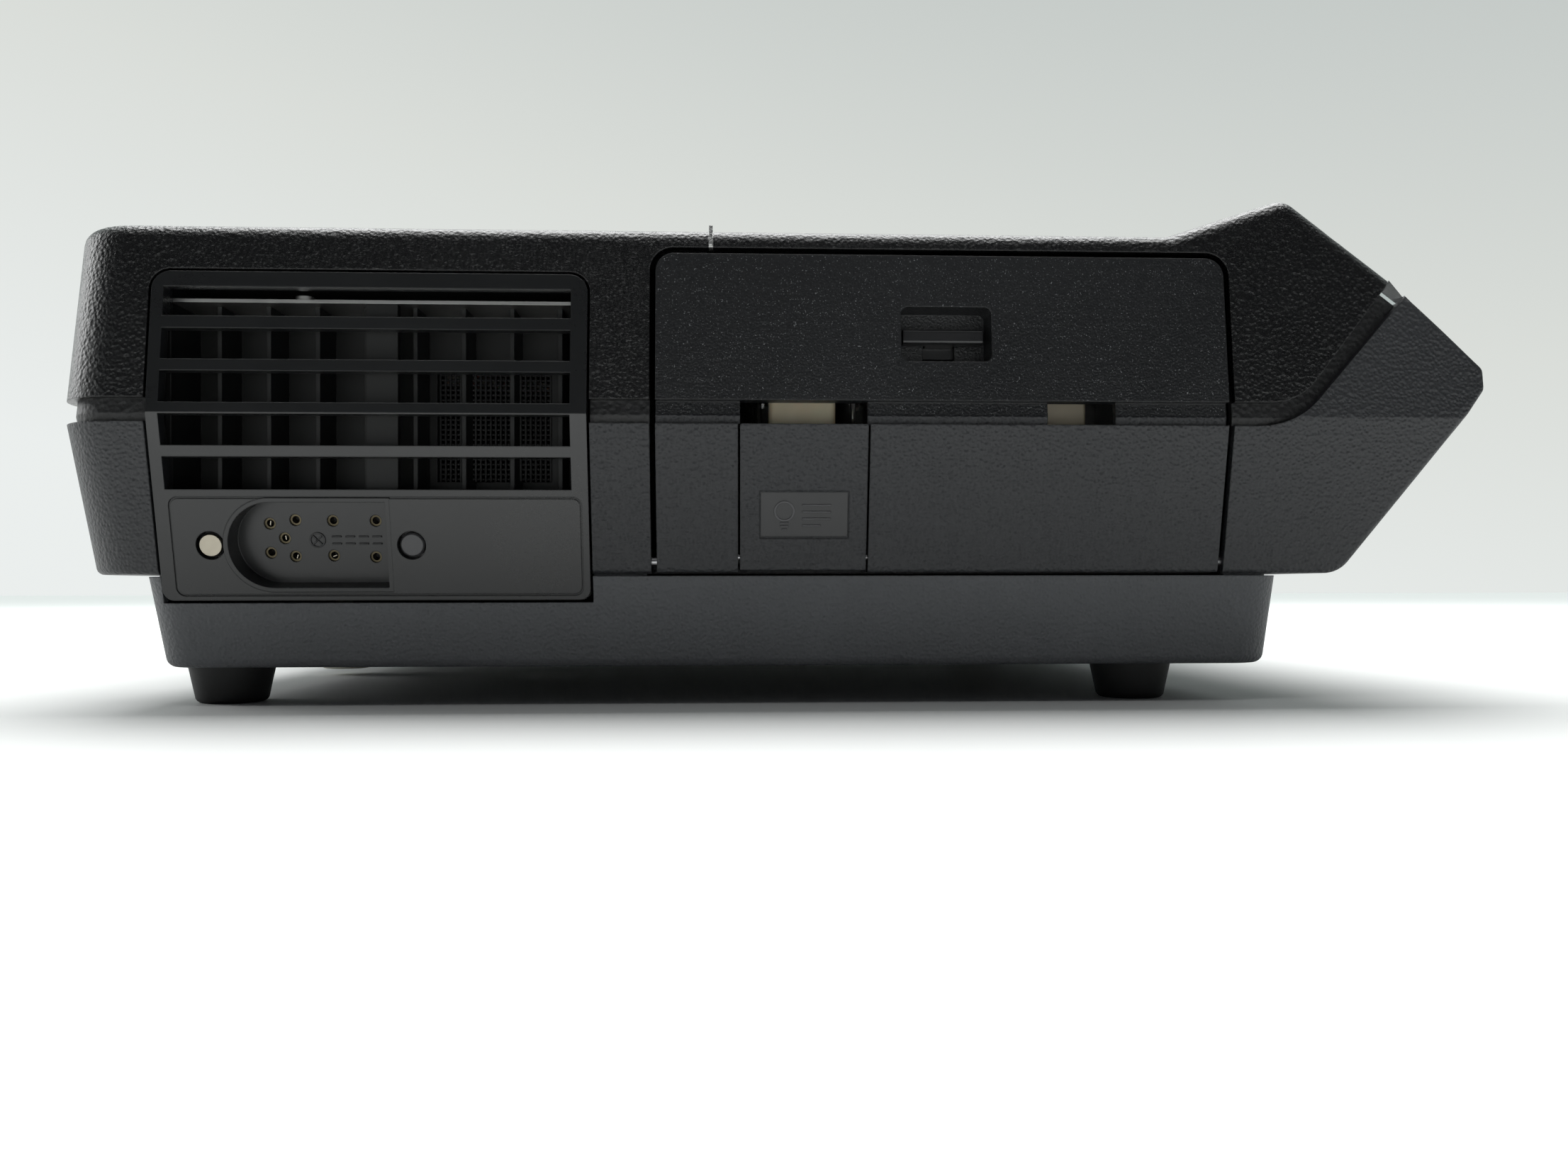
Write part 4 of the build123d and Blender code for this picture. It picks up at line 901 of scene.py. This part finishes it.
@dataclass
class SocketMark:
    """A raised lamp sign between the contact holes of the lamp-circuit recess."""

    finishes: FinishStore
    depth: float = -7.0
    middle: Spot = (-124.5, 0.3)

    def build(self) -> None:
        """Makes the sign."""
        mark = Sketch(LOWER_SIDE @ Matrix.Translation((0, 0, self.depth * MM)))
        mark.ring(2.2, 1.75, 0.4, self.middle, sides=28)
        for turn in (45, -45):
            mark.box((3.7, 0.42, 0.4), self.middle, turn=turn)
        for column in range(4):
            mark.box((2.6, 0.5, 0.4), (-119.2 + column * 3.7, 1.3), soft=0.1)
            mark.box((2.6, 0.5, 0.4), (-119.2 + column * 3.7, -0.7), soft=0.1)
        mark.done("lamp_circuit_mark", self.finishes.get("grille"), Body.SHELL)


@dataclass
class PanelPrint:
    """Printed signs, dial numbers and screws of the control panel."""

    finishes: FinishStore
    film: float = 0.05
    face_low: float = -0.32
    timer_y: float = -45.0
    tick_circle: float = 10.4

    def arrow(self, sketch: Sketch, at: Spot, turn: float, size: float = 1.7) -> None:
        """Adds a solid triangle.

        Args:
            sketch: The sketch that it goes on.
            at: Its middle.
            turn: Its turn, in degrees.
            size: Its radius.
        """
        sketch.disc(size, self.film, at, self.face_low, sides=3, turn=turn)

    def number(self, text: str, at: Spot, size: float) -> bpy.types.Mesh:
        """Makes one dial number as a thin mesh.

        Args:
            text: The number.
            at: Its middle on the panel.
            size: Its height.

        Returns:
            The mesh, in the row frame.
        """
        curve = bpy.data.curves.new("number", "FONT")
        curve.body = text
        curve.size = size * MM
        curve.align_x = "CENTER"
        curve.align_y = "CENTER"
        curve.extrude = self.film * MM / 2
        source = bpy.data.objects.new("number", curve)
        mesh = bpy.data.meshes.new_from_object(source)
        bpy.data.objects.remove(source)
        middle = (at[0] * MM, at[1] * MM, (self.face_low + self.film / 2) * MM)
        mesh.transform(PANEL_FACE @ Matrix.Translation(middle))
        return mesh

    def build(self) -> None:
        """Makes the print and the screws."""
        signs = Sketch(PANEL_FACE)
        signs.ring(1.5, 1.15, self.film, (-107, 6.4), self.face_low, 24)
        signs.box((0.45, 1.7, self.film), (-107, 7.2), self.face_low)
        for step in range(4):
            signs.disc(0.5, self.film, (-107 + step * 8, -5.0), self.face_low, 16)
        signs.ring(1.2, 0.85, self.film, (-91, 6.4), self.face_low, 24)
        signs.ring(1.7, 1.35, self.film, (-83, 6.4), self.face_low, 24)
        for tick in range(10):
            angle = math.radians(225 - tick * 30)
            at = (self.timer_y + self.tick_circle * math.cos(angle), 0.9 * self.tick_circle * math.sin(angle))
            signs.box((1.6, 0.35, self.film), at, self.face_low, turn=math.degrees(angle))
        self.arrow(signs, (-24.5, 0), 90)
        self.arrow(signs, (24.5, 0), -90)
        self.arrow(signs, (38, 8.4), 180)
        self.arrow(signs, (58, 8.4), 0)
        self.arrow(signs, (78.5, 0), 180, 1.3)
        self.arrow(signs, (111.5, 0), 0, 1.3)
        signs.ring(1.6, 1.2, self.film, (95, 8.4), self.face_low, 24)
        signs.box((252.0, 0.25, self.film), (0, -10.3), self.face_low)
        signs.box((252.0, 0.25, self.film), (0, 10.3), self.face_low)
        signs.done("panel_signs", self.finishes.get("print_dark"), Body.SHELL)
        dial = bmesh.new()
        minutes = (("3", (-57, 5.8)), ("5", (-57, -5.0)), ("8", (-33.2, 5.8)), ("15", (-33.0, -5.0)))
        for text, at in minutes:
            mesh = self.number(text, at, 2.6)
            dial.from_mesh(mesh)
            bpy.data.meshes.remove(mesh)
        made = new_object("timer_numbers", dial)
        made.data.materials.append(self.finishes.get("print_dark"))
        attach(made, Body.SHELL.value)
        screws = Sketch(PANEL_FACE)
        for x in (-126.5, 126.5):
            screws.disc(2.1, 0.5, (x, 0), self.face_low, 24, top=0.86)
        screws.done("panel_screws", self.finishes.get("steel_pin"), Body.SHELL)


@dataclass
class TrayTrim:
    """Screws, ribs and the index mark of the tray bed, and the slot of the spindle's button."""

    finishes: FinishStore
    screw_circle: float = 112.0
    rib_circle: float = 70.0

    def build(self) -> None:
        """Makes the trim."""
        screws = Sketch(DECK_FACE)
        for step in range(8):
            angle = math.radians(22.5 + 45 * step)
            at = (self.screw_circle * math.cos(angle), self.screw_circle * math.sin(angle))
            screws.disc(3.0, 0.9, at, 0.0, 24, top=0.8)
        screws.done("tray_bed_screws", self.finishes.get("steel_pin"), Body.SHELL)
        ribs = Sketch(DECK_FACE)
        for step in range(36):
            turn = 5 + step * 10
            angle = math.radians(turn)
            if abs(turn - 270) < 12 or abs(turn - 180) < 12:
                continue
            at = (self.rib_circle * math.cos(angle), self.rib_circle * math.sin(angle))
            ribs.box((22.0, 1.0, 0.6), at, 0.0, turn, 0.15)
        ribs.done("tray_bed_ribs", self.finishes.get("black_paint"), Body.SHELL)
        mark = Sketch(DECK_FACE)
        mark.disc(2.4, 0.05, (0.0, -117.0), 0.0, 3, 90)
        mark.done("index_mark", self.finishes.get("print_white"), Body.SHELL)
        # A flat near-black ring and bar on the button: painted shade of its slot.
        slot = Sketch(plane((SPINDLE_X, 0.0, SPINDLE_TOP), (1, 0, 0), (0, 0, 1)))
        slot.ring(4.1, 3.7, 0.06, (0, 0), -0.05, 32)
        slot.box((6.4, 0.9, 0.06), (0, 0), -0.05)
        slot.done("spindle_button_slot", self.finishes.get("dark_inside"), Body.SPINDLE)


@dataclass
class BaseTrim:
    """Crossed screws, ribs and a blank plate under the base."""

    finishes: FinishStore

    def build(self) -> None:
        """Makes the trim."""
        # Flat near-black crosses on the underside: painted shade of the screws' cross recesses.
        cross = Sketch(plane((0.0, 0.0, 9.6), (1, 0, 0), (0, 0, -1)))
        for x in (-120, 0, 120):
            for y in (-100, 100):
                for turn in (0, 90):
                    cross.box((3.6, 0.8, 0.05), (x, y), 0.0, turn)
        cross.done("base_screw_slots", self.finishes.get("dark_inside"), Body.SHELL)
        plate = Sketch(UNDERSIDE)
        plate.box((62.0, 34.0, 0.35), (60.0, 40.0), 0.0, 0.0, 0.15)
        plate.done("blank_plate", self.finishes.get("panel_metal"), Body.SHELL)
        ribs = Sketch(UNDERSIDE)
        for y in (-72, 72):
            ribs.box((228.0, 1.6, 1.2), (-8.0, y), 0.0, 0.0, 0.3)
        ribs.done("base_ribs", self.finishes.get("shell_lower"), Body.SHELL)


@dataclass
class LensTrim:
    """The front retaining ring of the projection lens."""

    finishes: FinishStore

    def build(self) -> None:
        """Makes the trim."""
        mouth = plane((-200.5, -88.0, 92.0), (0, -1, 0), (-1, 0, 0))
        ring = Sketch(mouth)
        ring.ring(20.9, 18.6, 1.2, (0, 0), -2.6, 64)
        ring.done("lens_retaining_ring", self.finishes.get("black_paint"), Body.LENS)


@dataclass
class IntakeFilter:
    """A dark foam sheet behind the intake slots of the far side."""

    finishes: FinishStore

    def build(self) -> None:
        """Makes the sheet."""
        outward = (0, math.cos(SIDE_LEAN), -math.sin(SIDE_LEAN))
        sheet = Sketch(plane((0.0, 140.8, 58.0), (-1, 0, 0), outward))
        sheet.box((184.0, 33.0, 2.0), (0, 0), -2.2, 0.0, 0.5)
        sheet.done("intake_foam", self.finishes.get("foam"), Body.SHELL)


@dataclass
class JackTrim:
    """The bright head of the left jack post and the spring contacts inside the socket."""

    finishes: FinishStore

    def build(self) -> None:
        """Makes the trim."""
        head = Sketch(LOWER_SIDE)
        head.disc(3.25, 0.7, (-150.9, 0.0), -0.75, 40, top=0.9)
        head.done("bright_jack_head", self.finishes.get("jack_nickel"), Body.SHELL)
        springs = Sketch(LOWER_SIDE)
        for x, y, turn in ((-137.9, 4.9, 80), (-134.0, 0.8, 95), (-131.2, -4.6, 70), (-120.9, -4.4, 20)):
            springs.box((1.3, 0.35, 0.5), (x + 0.5, y), -8.6, turn, 0.08)
        springs.done("socket_springs", self.finishes.get("jack_nickel"), Body.SHELL)


@dataclass
class LightBarBacking:
    """The dark channel under the clear bar across the control face."""

    finishes: FinishStore

    def build(self) -> None:
        """Makes the channel's floor."""
        middle = (Vector(PANEL_LIP_HIGH) + Vector(PANEL_LIP_LOW)) / 2
        face = plane(tuple(middle), (0, 1, 0), (math.sin(PANEL_TILT), 0, math.cos(PANEL_TILT)))
        floor = Sketch(face)
        floor.box((268.0, 9.0, 1.0), (0, 0), -6.2, 0.0, 0.2)
        floor.done("light_bar_channel", self.finishes.get("dark_inside"), Body.SHELL)


@dataclass
class DuctScreen:
    """A dark wire screen over the hole at the back of the exhaust duct."""

    finishes: FinishStore
    wires: int = 23
    first: float = -16.0
    pitch: float = 1.45

    def build(self) -> None:
        """Makes the screen."""
        screen = Sketch(plane((-78.5, -118.6, 81.0), (1, 0, 0), (0, -1, 0)))
        for column in range(self.wires):
            screen.box((0.6, 34.0, 0.5), (self.first + column * self.pitch, 0), -0.7)
        for row in range(self.wires):
            screen.box((33.0, 0.6, 0.5), (0, self.first + row * self.pitch), -1.2)
        # The screen takes the duct's finish, darkened as painted shade.
        screen.done("duct_screen", self.finishes.get("duct_dark"), Body.SHELL)


def main() -> None:
    """Loads the frame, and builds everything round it."""
    logging.basicConfig(level=logging.INFO, format="%(name)s: %(message)s")
    studio = Studio()
    studio.camera()
    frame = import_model()
    finishes = FinishStore()
    CadDressing(frame, finishes).dress()
    trims = (
        FlapMark, SocketMark, PanelPrint, TrayTrim, BaseTrim,
        LensTrim, IntakeFilter, JackTrim, LightBarBacking, DuctScreen,
    )
    for trim in trims:
        trim(finishes).build()
    studio.build()


if __name__ == "__main__":
    main()
